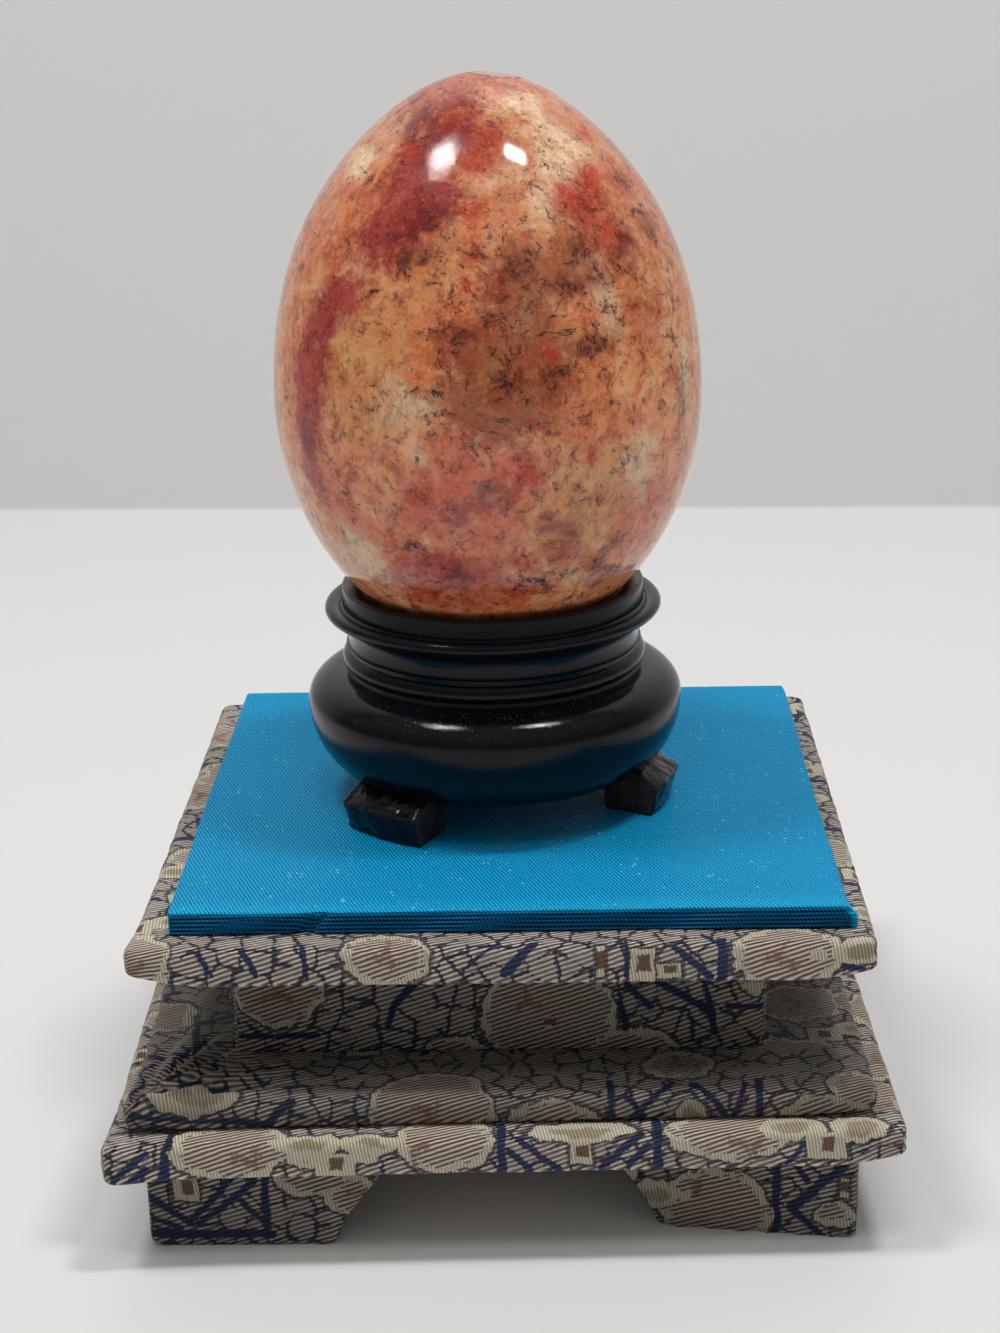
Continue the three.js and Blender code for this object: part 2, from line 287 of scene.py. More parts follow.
# %% Where the marble's colours lie
STAINS = {
    "crimson": [(-45, 38, 3, 2), (-11, 39, 1.6, 1.4), (-13, 35.5, 2, 1.8), (-23, 33, 3.4, 3), (-28, 30.5, 2.6, 2.6),
                (-21, 28, 3, 2.6), (-9, 29, 1.7, 1.4), (-25, 26, 2.7, 2.4), (-27, 24, 2.5, 2.2), (-31, 22, 2.2, 2),
                (-45, 17.5, 2.6, 2.2), (-40, 15, 2, 2), (-46, 12.5, 2.6, 2.6), (-50, 10, 2.3, 2.6), (-54, 7, 2.7, 3),
                (-47, 5.5, 2.2, 2.2), (-51, 2.5, 2.3, 2.8), (-51, -1, 2, 2.6), (-54, -6.5, 2.6, 2.6), (-49, -9.5, 2, 2),
                (140, 16, 10, 9), (-165, 2, 7, 13)],
    "cream": [(20, 39, 3, 2), (34, 34.5, 3, 4.2), (32, 31, 2, 2.6), (22, 28, 1.6, 2.6), (49, 32.5, 2, 2),
              (34, 18.5, 1.3, 4.4), (36, 13.5, 1.3, 2.2), (63, 5, 1.4, 2.6), (64, 1.5, 1.3, 2.4), (-59, 31.5, 2.4, 2.8),
              (-17, 4, 3, 2), (-16, -3, 1.4, 1.1), (-42, -19, 3.6, 4), (44, -6, 3, 4.6), (6, 30, 1.7, 3), (120, 22, 8, 7), (-120, -8, 7, 9)],
    "ochre": [(-33, 7, 4.4, 4), (-38, 2.5, 3.4, 4), (-28, 2, 3.4, 2.4), (-31, 10.5, 4, 3.4), (-22, 17, 2.6, 3),
              (-32, 15, 2.6, 2.6), (-7, 20, 2.6, 2.6), (49, 17, 2.6, 3.6), (30, -4, 5, 4), (30, -12, 5, 4), (170, -8, 9, 8)],
    "pink": [(-12, -6, 5.4, 3.4), (2, -5, 5, 3.6), (-2, -14, 5.4, 3.8), (-13, -10.5, 3, 2.6), (-29, -20, 3, 3),
             (-40, -12, 4, 5), (48, -14, 4, 6), (100, -14, 12, 8)],
    "deep red": [(-60, 40, 4, 2), (5, 40.6, 3, 1.4), (-14, 36, 4, 4), (-30, 24, 5, 6), (4, 33, 3, 4), (-15, -17.5, 4.6, 2.4), (-3, -20, 3.4, 2.4), (-16, -22.5, 5.4, 2.6), (0, -23, 5, 2.4), (35, 27, 3.4, 3),
                 (42, 22, 4, 3), (46, 12, 3, 4), (-110, 20, 7, 9)],
    "cloud": [(-17, 21.5, 3.6, 1.8), (-14, 26, 2.4, 2), (8, 19, 3, 3.2), (28, 22, 3.6, 2.8), (26, 18.5, 4.2, 2.2),
              (11, 15.5, 2.8, 2.4), (14, 12.5, 3.4, 2), (5, 7.5, 3.6, 3.4), (8, 10.5, 2.6, 2), (3, 4.5, 3, 2.2),
              (15, 3, 2.4, 2), (16, 7, 3.4, 2), (-1, 2, 5.4, 3), (60, 28.5, 1.5, 1.6), (65, 23.5, 1.8, 2.2),
              (49, 21, 1.8, 2.2), (62, -0.5, 1.6, 4), (29, 10, 3.4, 1.6), (-3, 11, 4, 3), (-150, 12, 9, 9)],
    "purple": [(-9, -19, 1.5, 3), (-7, -10.5, 1.7, 2), (1, -8, 2.2, 1.6), (-51, -3, 2, 2.6), (41, -22, 2, 1.6),
               (21, -13.5, 2.8, 3.4), (-40, 36, 3, 2.4), (90, 4, 6, 6)],
    "red": [(-2, 24.5, 1, 1.1), (-4, 26.5, 0.9, 0.9), (-2, 21.5, 0.9, 0.8), (-3, 18.3, 1.1, 1), (32, 14.2, 1.2, 0.8),
            (42, 23.5, 1.1, 1), (-1, 31, 1.1, 1), (13, 24, 0.9, 0.7), (48, 29.5, 1.5, 1.5), (62, 34, 1.3, 1),
            (2, -1.2, 0.8, 1), (18, 10, 1, 0.9), (8, -3, 1.5, 0.9), (11, -6, 1.2, 1.3), (-16, -8, 1.8, 1.5),
            (10, -17.7, 1.3, 0.8), (34, 0, 1, 1.7), (28, -3.2, 0.6, 1.6), (35, 27.5, 1.8, 1.5), (-32, 33, 1, 1)],
    "moss": [(-37, -6, 1.1, 1.4), (-22, -15.4, 1.7, 1), (16, -11.8, 1, 1.5), (19, -11, 1.4, 0.9), (14, -20.7, 1.2, 1.3),
             (18, -22, 1.6, 1.2), (28, -20.5, 2, 1.2), (36, -19, 1.3, 2), (41, -17, 1.3, 1.2), (-7, 12, 1.6, 1),
             (-4, 11, 1.2, 0.9), (-12, 6.7, 1.1, 1), (-8, 6.5, 1.5, 0.9), (-25, 3.7, 1.4, 0.9), (-41, -1.4, 1.3, 1.2),
             (-23, -1.4, 1.6, 1.1), (22, -4, 0.8, 2.4), (21, 7.5, 1.8, 0.8), (16, 7, 1.6, 1.1), (-18, 21.5, 2.6, 1.1),
             (60, 28.5, 1.1, 1.1), (49, 21.5, 1.7, 1.7), (23, 18, 2.6, 1), (-9, 13.4, 1, 1.7), (19, 37, 1.2, 0.7),
             (17, 27, 1, 0.8), (-47, 29, 0.9, 1), (11, 20, 2.2, 1.1), (11, 15.4, 2, 1.8), (5, 7, 2, 1.8), (14, 3, 1.7, 1.1),
             (29, 10.7, 2.2, 1), (41, 19.5, 1.1, 1.6), (67, 22, 1, 1.9), (62, 13.5, 1, 1.9), (51, 1.7, 1.1, 2.2),
             (32, -10, 1.1, 1.9), (0, 22, 0.8, 1), (28, 22.5, 2.4, 1.8), (-160, 10, 8, 8)],
    "pit": [(-66, -15, 1, 1.4)],
}


def egg_place(angle, height):
    """The place on the egg at an angle round from the front and a height, in millimetres."""
    share = height * MM / (egg_upper if height > 0 else EGG_LOWER)
    drawn = 1 - EGG_POINTEDNESS * share**4 if height > 0 else 1
    reach = egg_radius / MM * math.sqrt(1 - share * share) * drawn
    turn = math.radians(angle)
    return (reach * math.sin(turn), -reach * math.cos(turn), height)


egg_places = np.empty(len(egg.data.vertices) * 3)
egg.data.vertices.foreach_get("co", egg_places)
egg_places = (egg_places.reshape(-1, 3) - np.array(egg_middle)) / MM
wander = np.array([noise.noise_vector(Vector(place) * 0.22) for place in egg_places])
egg_places += 1.5 * wander
for name, marks in STAINS.items():
    nearness = np.zeros(len(egg_places))
    for angle, height, across, up in marks:
        offset = (egg_places - np.array(egg_place(angle, height))) / (across, across, up)
        nearness += np.exp(-0.55 * np.sum(offset**2, axis=1))
    stored = egg.data.attributes.new(name, "FLOAT", "POINT")
    stored.data.foreach_set("value", np.minimum(nearness, 1.3))
print("stains:", {name: len(marks) for name, marks in STAINS.items()})

# %% [markdown]
# Each stain's edge is frayed by noise, coarse and fine, before it is cut off softly, so that it
# looks grown and not painted. The veins are the lines where a rough noise crosses its middle
# value; they are black inside the moss and brown and faint elsewhere. Pepper is the cells of a
# Voronoi texture. Towards its tip the stone's colour is darkened, a painted shade on the top of
# the egg. The polish is a low roughness, and a little light passes under the surface.

# %% The marble
marble = new_material("marble")
tree = marble.node_tree
place = millimetres(tree, egg_middle)


def shifted(tree, place, amount):
    """The same place moved along, so that two noises don't repeat each other."""
    return vectors(tree, "ADD", place, (amount, 0.7 * amount, -0.4 * amount))


broad = clouds(tree, place, 0.06, 6, 0.6, 0.5)
middling = clouds(tree, shifted(tree, place, 40), 0.2, 8, 0.66, 0.6)
small = clouds(tree, shifted(tree, place, 17), 0.6, 7, 0.68, 0.4)
fine = clouds(tree, place, 1.7, 5, 0.7, 0.3)
streaks = clouds(tree, vectors(tree, "MULTIPLY", place, (1, 1, 0.25)), 1.0, 5, 0.6)
stone = blend(tree, step(tree, broad, 0.36, 0.64), (0.92, 0.31, 0.12, 1), (0.98, 0.44, 0.19, 1))
stone = blend(tree, step(tree, middling, 0.47, 0.68, 0.0, 0.8), stone, (0.78, 0.17, 0.055, 1))
stone = blend(tree, step(tree, middling, 0.5, 0.33, 0.0, 0.85), stone, (1.0, 0.6, 0.3, 1))
stone = blend(tree, step(tree, small, 0.52, 0.68, 0.0, 0.5), stone, (0.7, 0.13, 0.05, 1))
egg_z = add_node(tree, "ShaderNodeSeparateXYZ", {0: place}).outputs[2]
# Painted shade: the stone's colour is darkened from the widest ring up towards the tip.
stone = blend(tree, step(tree, egg_z, 2, 40), stone, (0.7, 0.62, 0.62, 1), "MULTIPLY")
LAYERS = [
    ("ochre", "MIX", (0.76, 0.37, 0.13, 1), 0.55, 3), ("pink", "MULTIPLY", (0.93, 0.62, 0.85, 1), 0.9, 11),
    ("cream", "MIX", (0.97, 0.72, 0.44, 1), 0.95, 23), ("deep red", "MULTIPLY", (0.74, 0.4, 0.42, 1), 0.9, 31),
    ("crimson", "MULTIPLY", (0.56, 0.2, 0.38, 1), 0.95, 43), ("cloud", "MULTIPLY", (0.46, 0.31, 0.3, 1), 0.9, 59),
    ("purple", "MULTIPLY", (0.42, 0.32, 0.55, 1), 0.8, 67), ("red", "MIX", (0.6, 0.045, 0.02, 1), 0.85, 71),
]
nearness = {}
for name, kind, colour, strength, shift in LAYERS:
    near = add_node(tree, "ShaderNodeAttribute", attribute_name=name).outputs["Fac"]
    coarse_fray = clouds(tree, shifted(tree, place, shift), 0.28, 8, 0.72, 0.5)
    for fray, amount in ((coarse_fray, 2.9), (small, 1.5), (fine, 0.5)):
        near = maths(tree, "MULTIPLY_ADD", maths(tree, "SUBTRACT", fray, 0.5), amount, near)
    nearness[name] = near
    stone = blend(tree, step(tree, near, -0.05, 1.25, 0.0, strength), stone, colour, kind)
stone = blend(tree, step(tree, streaks, 0.52, 0.72, 0.0, 0.35), stone, (0.6, 0.35, 0.32, 1), "MULTIPLY")
stone = blend(tree, step(tree, fine, 0.44, 0.3, 0.0, 0.25), stone, (0.98, 0.62, 0.35, 1))
mottled = step(tree, middling, 0.42, 0.64, 0.0, 0.55)
stone = blend(tree, maths(tree, "MULTIPLY", step(tree, fine, 0.5, 0.66), mottled), stone, (0.52, 0.28, 0.26, 1), "MULTIPLY")

moss = add_node(tree, "ShaderNodeAttribute", attribute_name="moss").outputs["Fac"]
moss = maths(tree, "MULTIPLY_ADD", maths(tree, "SUBTRACT", middling, 0.5), 1.8, moss)
moss = step(tree, maths(tree, "MULTIPLY_ADD", maths(tree, "SUBTRACT", small, 0.5), 1.4, moss), 0.32, 1.05)


def vein(tree, noise, thin, thick):
    """A dark line where a noise crosses its middle value, thin or thick as a soft edge."""
    return step(tree, maths(tree, "ABSOLUTE", maths(tree, "SUBTRACT", noise, 0.5)), thin, thick, 1.0, 0.0)


long_veins = vein(tree, clouds(tree, place, 0.2, 4, 0.6, 1.0), 0.006, 0.02)
short_veins = vein(tree, clouds(tree, shifted(tree, place, 33), 0.5, 4, 0.6, 0.8), 0.008, 0.032)
broken = step(tree, small, 0.42, 0.54, 0.1, 1.0)
branches = maths(tree, "MULTIPLY", maths(tree, "MAXIMUM", long_veins, short_veins), broken)
clouded = step(tree, nearness["cloud"], -0.5, 0.5, 0.0, 0.85)
faint = maths(tree, "MULTIPLY", long_veins, maths(tree, "MULTIPLY", clouded, broken))
crumbs = step(tree, clouds(tree, shifted(tree, place, 9), 2.4, 4, 0.65), 0.6, 0.68, 0.0, 0.85)
dark_moss = maths(tree, "MULTIPLY", maths(tree, "MAXIMUM", branches, crumbs), moss)
thread_line = vein(tree, clouds(tree, shifted(tree, place, 90), 0.13, 8, 0.66, 1.6), 0.0015, 0.007)
thread_line = maths(tree, "MULTIPLY", thread_line, step(tree, streaks, 0.46, 0.6, 0.0, 0.42))
pepper = add_node(tree, "ShaderNodeTexVoronoi", {"Vector": place, "Scale": 0.85})
pepper_random = add_node(tree, "ShaderNodeSeparateColor", {0: pepper.outputs["Color"]})
pepper_size = maths(tree, "MULTIPLY_ADD", pepper_random.outputs[0], 0.2, -0.03)
pepper_spot = step(tree, maths(tree, "SUBTRACT", pepper.outputs["Distance"], pepper_size), -0.02, 0.06, 1.0, 0.0)
pepper_chance = step(tree, maths(tree, "ADD", pepper_random.outputs[1], maths(tree, "MULTIPLY", middling, 0.7)), 0.82, 1.02)
pepper_spot = maths(tree, "MULTIPLY", maths(tree, "MULTIPLY", pepper_spot, pepper_chance), 0.55)
stone = blend(tree, step(tree, moss, 0.2, 1.0, 0.0, 0.5), stone, (0.5, 0.4, 0.4, 1), "MULTIPLY")
stone = blend(tree, thread_line, stone, (0.16, 0.035, 0.022, 1))
stone = blend(tree, maths(tree, "MAXIMUM", dark_moss, faint), stone, (0.055, 0.022, 0.02, 1))
stone = blend(tree, pepper_spot, stone, (0.07, 0.02, 0.014, 1))
pit = add_node(tree, "ShaderNodeAttribute", attribute_name="pit").outputs["Fac"]
stone = blend(tree, step(tree, pit, 0.5, 0.8), stone, (0.1, 0.035, 0.015, 1))
rough_spots = step(tree, nearness["crimson"], 0.4, 1.1, 0.2, 1.6)
surface(tree, stone, step(tree, fine, 0.3, 0.7, 0.06, 0.12), maths(tree, "MULTIPLY", fine, rough_spots), 0.1, 0.0001,
        Subsurface_Weight=0.1, Subsurface_Radius=(0.0016, 0.0007, 0.0004), IOR=1.5)
hand_over(egg, "polished_egg", marble, "marble", "marble_egg")

# %% [markdown]
# The stand is turned from one piece of wood on a lathe, so its outline says everything.
# The outline is drawn by extruding one vertex from point to point, then spun round its axis.
# Rounded stretches are arcs, and the small fillets catch the thin bright rings of the lacquer.


# %% Draw an outline and spin it
def arc(middle_r, middle_z, across, up, start, end, steps):
    """Points of an elliptical arc, in millimetres, its angles in degrees from outwards."""
    angles = [math.radians(start + (end - start) * i / steps) for i in range(steps + 1)]
    return [(middle_r + across * math.cos(a), middle_z + up * math.sin(a)) for a in angles]


def draw(points):
    """A chain of edges through the given places, extruded from a single vertex."""
    rest()
    bpy.ops.mesh.primitive_plane_add(size=MM)
    line = bpy.context.object
    bpy.ops.object.mode_set(mode="EDIT")
    bpy.ops.mesh.select_mode(type="VERT")
    bpy.ops.mesh.merge(type="CENTER")
    bpy.ops.transform.translate(value=points[0])
    for last, point in zip(points, points[1:]):
        bpy.ops.mesh.extrude_vertices_move(TRANSFORM_OT_translate={"value": Vector(point) - Vector(last)})
    return line


def lathe(profile, middle, steps):
    """Spins a profile of (radius, height) in millimetres round the upright axis through middle."""
    places = [(middle[0] + r * MM, middle[1], middle[2] + z * MM) for r, z in profile]
    body = draw(places)
    bpy.ops.mesh.select_all(action="SELECT")
    bpy.ops.mesh.spin(steps=steps, angle=2 * math.pi, center=middle, axis=(0, 0, 1))
    bpy.ops.mesh.select_all(action="SELECT")
    bpy.ops.mesh.remove_doubles(threshold=0.002 * MM)
    bpy.ops.mesh.normals_make_consistent(inside=False)
    rest()
    return body


# %% The stand's body
stand_low, stand_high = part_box("wood_stand")
STAND_X = egg_middle.x
stand_base = (STAND_X, 0, stand_low[2])
BULGE_RADIUS, BULGE_HEIGHT, BULGE_FOOT = 26.2, 14.7, 19.2
BULGE_DROP, BULGE_RISE, UNDERSIDE = 9.8, 4.3, 4.4
GROOVE_RADIUS, BEAD_RADIUS, BEAD_HEIGHT, BEAD_HALF = 20.6, 21.15, 20.75, 1.55
UPPER_GROOVE, FLANGE_RADIUS, COLLAR_RADIUS = 20.25, 23.4, 20.9
BEAD_TOP = BEAD_HEIGHT + BEAD_HALF * 1.5
FLANGE_LOW = BEAD_TOP + 3.9
FLANGE_NOSE = 0.95
FLANGE_INNER = FLANGE_RADIUS - FLANGE_NOSE
COLLAR_FOOT = FLANGE_LOW + 1.25
LIP_HEIGHT = (stand_high[2] - stand_low[2]) / MM
LIP_ROUND, LIP_WIDTH, MOUTH_FLARE, MOUTH_DEPTH, SEAT_GAP = 0.35, 0.75, 1.0, 0.35, 0.3
LIP_OUTER = COLLAR_RADIUS - LIP_ROUND
MOUTH_RADIUS = LIP_OUTER - LIP_WIDTH
cup_radius = egg_radius / MM + SEAT_GAP
cup_height = EGG_LOWER / MM + SEAT_GAP
cup_angle = math.degrees(math.asin((MOUTH_RADIUS - MOUTH_FLARE) / cup_radius))
cup_middle = (egg_middle.z - stand_low[2]) / MM

stand_profile = [(0, UNDERSIDE), (BULGE_FOOT - 1, UNDERSIDE)]
stand_profile += arc(BULGE_FOOT, BULGE_HEIGHT, BULGE_RADIUS - BULGE_FOOT, BULGE_DROP, -88, 0, 30)
stand_profile += arc(GROOVE_RADIUS, BULGE_HEIGHT, BULGE_RADIUS - GROOVE_RADIUS, BULGE_RISE, 5, 84, 18)
stand_profile += [(GROOVE_RADIUS + 0.12, BULGE_HEIGHT + BULGE_RISE + 0.06)]
stand_profile += arc(BEAD_RADIUS - BEAD_HALF, BEAD_HEIGHT, BEAD_HALF, BEAD_HALF, -48, 58, 12)
stand_profile += arc(UPPER_GROOVE + 0.5, BEAD_TOP, 0.5, 0.35, 250, 180, 4)
stand_profile += arc(FLANGE_INNER, BEAD_TOP + 0.5, UPPER_GROOVE - FLANGE_INNER, 3.3, 0, 84, 12)
stand_profile += arc(FLANGE_INNER, FLANGE_LOW + 0.75, FLANGE_NOSE, 0.85, -78, 78, 12)
stand_profile += [(FLANGE_INNER - 0.5, FLANGE_LOW + 1.58), (COLLAR_RADIUS + 0.45, COLLAR_FOOT + 0.16)]
stand_profile += arc(COLLAR_RADIUS + 0.3, COLLAR_FOOT + 0.3, 0.3, 0.3, 270, 180, 3)
stand_profile += arc(LIP_OUTER - LIP_ROUND + LIP_ROUND, LIP_HEIGHT - LIP_ROUND, LIP_ROUND, LIP_ROUND, 0, 90, 5)
stand_profile += arc(0, cup_middle, cup_radius, cup_height, cup_angle - 90, -90, 20)
stand = lathe(stand_profile, stand_base, 176)
print("stand profile points:", len(stand_profile))

# %% [markdown]
# The three feet are what is left of a turned ring after sawing it away between them.
# Each foot is a wedge block cut to the ring's outline by a boolean, as the saw leaves it.
# Its edges are eased with a small bevel before it is joined to the body.

# %% The stand's three feet
FOOT_ANGLES_AND_WIDTHS = ((-39, 14.2), (72.5, 11.8), (197, 13))
FOOT_TAPER = 4
RING_INNER, RING_SOLE, RING_RIDGE = 17.5, 24.7, 25.8
RIDGE_HEIGHT, BEVEL_RISE, BEVEL_RUN = 4, 2.2, 3
BLOCK_TOP = 9
FOOT_GRAIN = 0.3
ring_profile = [
    (RING_INNER, 0), (RING_SOLE, 0), (RING_RIDGE, RIDGE_HEIGHT),
    (RING_RIDGE - BEVEL_RUN, RIDGE_HEIGHT + BEVEL_RISE), (RING_INNER, RIDGE_HEIGHT + BEVEL_RISE), (RING_INNER, 0),
]
ring = lathe(ring_profile, stand_base, 176)

for angle, width in FOOT_ANGLES_AND_WIDTHS:
    rest()
    depth = RING_RIDGE + 2 - RING_INNER
    bpy.ops.mesh.primitive_cube_add(size=1, scale=(depth * MM, width * MM, 2 * BLOCK_TOP * MM))
    foot = bpy.context.object
    foot.location = ((RING_INNER - 1 + depth / 2) * MM, 0, 0)
    bpy.ops.object.transform_apply(location=True, rotation=False, scale=True)
    bpy.ops.object.mode_set(mode="EDIT")
    pick(foot, lambda vertex: vertex.co.x < RING_INNER * MM)
    bpy.ops.transform.resize(value=(1, (width - FOOT_TAPER) / width, 1), center_override=(0, 0, 0))
    rest()
    foot.rotation_euler = (0, 0, math.radians(angle - 90))
    foot.location = stand_base
    activate(foot)
    bpy.ops.object.transform_apply(location=True, rotation=True, scale=False)
    use_modifier(foot, "BOOLEAN", operation="INTERSECT", object=ring, solver="EXACT")
    use_modifier(foot, "BEVEL", width=0.32 * MM, segments=3, limit_method="ANGLE", angle_limit=math.radians(40))
    use_modifier(foot, "REMESH", mode="VOXEL", voxel_size=FOOT_GRAIN * MM)
    use_modifier(foot, "SMOOTH", factor=0.5, iterations=2)
    foot.name = "stand foot"
    swell(foot, 2.4, 0.55)
    use_modifier(stand, "BOOLEAN", operation="UNION", object=foot, solver="EXACT")
    bpy.data.objects.remove(foot)
bpy.data.objects.remove(ring)
activate(stand)
bpy.ops.object.shade_smooth_by_angle(angle=math.radians(38))
print("stand faces:", len(stand.data.polygons))

# %% [markdown]
# Black lacquer is glossy but never quite clean: fine dust sits on it, the wood's pores pull it
# in here and there, and the bevels of the feet are scuffed. A nearly black base with a low
# roughness gives the gloss, and small bright cells of a Voronoi texture give the dust.

# %% The lacquer and the sawn wood
stand_middle = Vector(stand_base)
lacquer = new_material("black lacquer")
tree = lacquer.node_tree
place = millimetres(tree, stand_middle)
smear = clouds(tree, place, 0.22, 5, 0.6)
grain = clouds(tree, vectors(tree, "MULTIPLY", place, (0.5, 0.5, 2.2)), 1.2, 6, 0.65)
dust_cells = add_node(tree, "ShaderNodeTexVoronoi", {"Vector": place, "Scale": 2.6})
dust_near = step(tree, dust_cells.outputs["Distance"], 0.1, 0.24, 1.0, 0.0)
dust_where = step(tree, clouds(tree, place, 0.5, 3), 0.4, 0.62, 0.0, 0.28)
normal = add_node(tree, "ShaderNodeNewGeometry").outputs["Normal"]
facing_up = step(tree, add_node(tree, "ShaderNodeSeparateXYZ", {0: normal}).outputs[2], 0.1, 0.8)
dust = maths(tree, "MULTIPLY", maths(tree, "MULTIPLY", dust_near, dust_where), facing_up)
height_z = add_node(tree, "ShaderNodeSeparateXYZ", {0: place}).outputs[2]
low_down = step(tree, height_z, RIDGE_HEIGHT + 2.4, RIDGE_HEIGHT + 1.2)
scuffs = maths(tree, "MULTIPLY", step(tree, clouds(tree, place, 0.9, 8, 0.75), 0.56, 0.66), low_down)
black = blend(tree, smear, (0.002, 0.0022, 0.004, 1), (0.006, 0.006, 0.009, 1))
black = blend(tree, dust, black, (0.3, 0.3, 0.32, 1))
black = blend(tree, maths(tree, "MULTIPLY", scuffs, 0.55), black, (0.1, 0.075, 0.06, 1))
gloss = maths(tree, "ADD", step(tree, smear, 0.3, 0.75, 0.04, 0.12), maths(tree, "MULTIPLY", scuffs, 0.3))
surface(tree, black, gloss, maths(tree, "ADD", grain, dust), 0.2, 0.00016, Specular_IOR_Level=0.24)

sawn = new_material("sawn wood")
tree = sawn.node_tree
place = millimetres(tree, stand_middle)
fibres = clouds(tree, vectors(tree, "MULTIPLY", place, (3.5, 3.5, 0.5)), 0.9, 6, 0.65)
stain = step(tree, clouds(tree, place, 0.4, 5), 0.4, 0.62)
wood = blend(tree, fibres, (0.025, 0.012, 0.009, 1), (0.085, 0.038, 0.024, 1))
wood = blend(tree, stain, wood, (0.014, 0.01, 0.01, 1))
surface(tree, wood, 0.6, fibres, 0.5, 0.0003)

# %% [markdown]
# The sawn sides of the feet are bare wood with some lacquer run over them.
# They are found by place and normal: low, outside the ring's inner radius, and facing sideways,
# neither out from the axis nor up or down.

# %% Give the sawn faces their wood
stand.data.materials.append(lacquer)
stand.data.materials.append(sawn)
sawn_count = 0
for face in stand.data.polygons:
    out = Vector((face.center.x - STAND_X, face.center.y, 0))
    low = face.center.z < stand_low[2] + (RIDGE_HEIGHT + BEVEL_RISE) * MM
    sideways = abs(face.normal.dot(out.normalized())) < 0.5 and abs(face.normal.z) < 0.3
    if low and sideways and out.length > (RING_INNER + 0.3) * MM:
        face.material_index = 1
        sawn_count += 1
hand_over(stand, "turned_stand", None, "lacquer", "wood_stand")
print("sawn faces:", sawn_count)

# %% [markdown]
# The plinth's boards are cards with cloth drawn round their edges. A bevelled cube would be too
# crisp, so each board starts as a fine grid, its underside, and is pulled up level by level.
# Each level is spread or drawn in, which rounds the edges the way wrapped cloth does, and the
# fine grid lets the cloth bulge and crease afterwards.


# %% A card board with rounded edges
def card(middle_x, bottom, width, thickness, edge, cells, edge_steps=4, side_steps=3):
    """A closed square board, its size in millimetres, its underside at bottom in metres."""
    rest()
    flat = (width - 2 * edge) * MM
    bpy.ops.mesh.primitive_grid_add(x_subdivisions=cells, y_subdivisions=cells, size=flat)
    board = bpy.context.object
    bpy.ops.object.mode_set(mode="EDIT")
    bpy.ops.mesh.select_all(action="SELECT")
    turns = [math.pi / 2 * i / edge_steps for i in range(1, edge_steps + 1)]
    lower = [(edge * (1 - math.cos(turn)), edge * (1 - math.sin(turn))) for turn in turns]
    straight = [(edge + (thickness - 2 * edge) * i / side_steps, 0) for i in range(1, side_steps + 1)]
    upper = [(thickness - level, inset) for level, inset in reversed(lower[:-1])] + [(thickness, edge)]
    level, inset = 0, edge
    for next_level, next_inset in lower + straight + upper:
        rise = (next_level - level) * MM
        spread = (width - 2 * next_inset) / (width - 2 * inset)
        bpy.ops.mesh.extrude_region_move(TRANSFORM_OT_translate={"value": (0, 0, rise)})
        bpy.ops.transform.resize(value=(spread, spread, 1), center_override=(0, 0, 0))
        level, inset = next_level, next_inset
    bpy.ops.mesh.select_all(action="SELECT")
    bpy.ops.mesh.normals_make_consistent(inside=False)
    rest()
    activate(board)
    board.location = (middle_x, 0, bottom)
    bpy.ops.object.transform_apply(location=True, rotation=False, scale=False)
    return board


def mould(piece, change):
    """Moves a piece's vertices by a formula on their places, which come and go as one array."""
    places = np.empty(len(piece.data.vertices) * 3)
    piece.data.vertices.foreach_get("co", places)
    places = change(places.reshape(-1, 3))
    piece.data.vertices.foreach_set("co", places.ravel())
    piece.data.update()


def round_corners(places, middle, half, radius):
    """Draws the corners of a square board, given in metres, in to a radius."""
    x, y = places[:, 0] - middle, places[:, 1]
    inner = half - radius
    over_x, over_y = np.abs(x) - inner, np.abs(y) - inner
    reach = np.hypot(over_x, over_y)
    largest = np.maximum(over_x, over_y)
    corner = (over_x > 0) & (over_y > 0)
    drawn = np.where(corner, largest / np.maximum(reach, 1e-9), 1.0)
    places[:, 0] = np.where(corner, middle + np.sign(x) * (inner + over_x * drawn), places[:, 0])
    places[:, 1] = np.where(corner, np.sign(y) * (inner + over_y * drawn), places[:, 1])
    return places


# %% [markdown]
# A woven pattern has to run over the edges as the cloth does, which Object coordinates can't do.
# So each board gets a UV map that is the cloth unfolded, in millimetres: across and back on the
# top, and down the sides on four flaps. Each face belongs to the flap that it is nearest to.


# %% Unfold the cloth of a board
def unfold(piece, middle_x, front, top):
    """A UV map in millimetres: u is x, v runs back from the front top edge, and flaps hang down."""
    layer = piece.data.uv_layers.new(name="cloth")
    vertices = piece.data.vertices
    for face in piece.data.polygons:
        sideways = abs(face.center.x - middle_x) > abs(face.center.y)
        for index in face.loop_indices:
            place = vertices[piece.data.loops[index].vertex_index].co
            drop = top - place.z
            u, v = place.x, place.y - front
            if sideways:
                u += math.copysign(drop, face.center.x - middle_x)
            else:
                v += math.copysign(drop, face.center.y)
            layer.data[index].uv = (u / MM, v / MM)


# %% [markdown]
# The satin panel is a thin card covered with blue satin, let onto the top board.
# Its front edge shows fine pulled folds, which are loops of the side drawn in a little,
# and its cloth is not quite flat.

# %% The satin panel
SATIN_WIDTH, SATIN_EDGE, SATIN_CORNER, SATIN_SINK, SATIN_RIB = 86, 0.35, 0.6, 0.6, 0.56
panel_low, panel_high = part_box("satin_panel")
panel_x = (panel_low[0] + panel_high[0]) / 2
panel_thickness = (panel_high[2] - panel_low[2]) / MM + SATIN_SINK
satin_panel = card(
    panel_x, panel_low[2] - SATIN_SINK * MM, SATIN_WIDTH, panel_thickness, SATIN_EDGE, 96, 2, 18
)
panel_front = -SATIN_WIDTH / 2 * MM


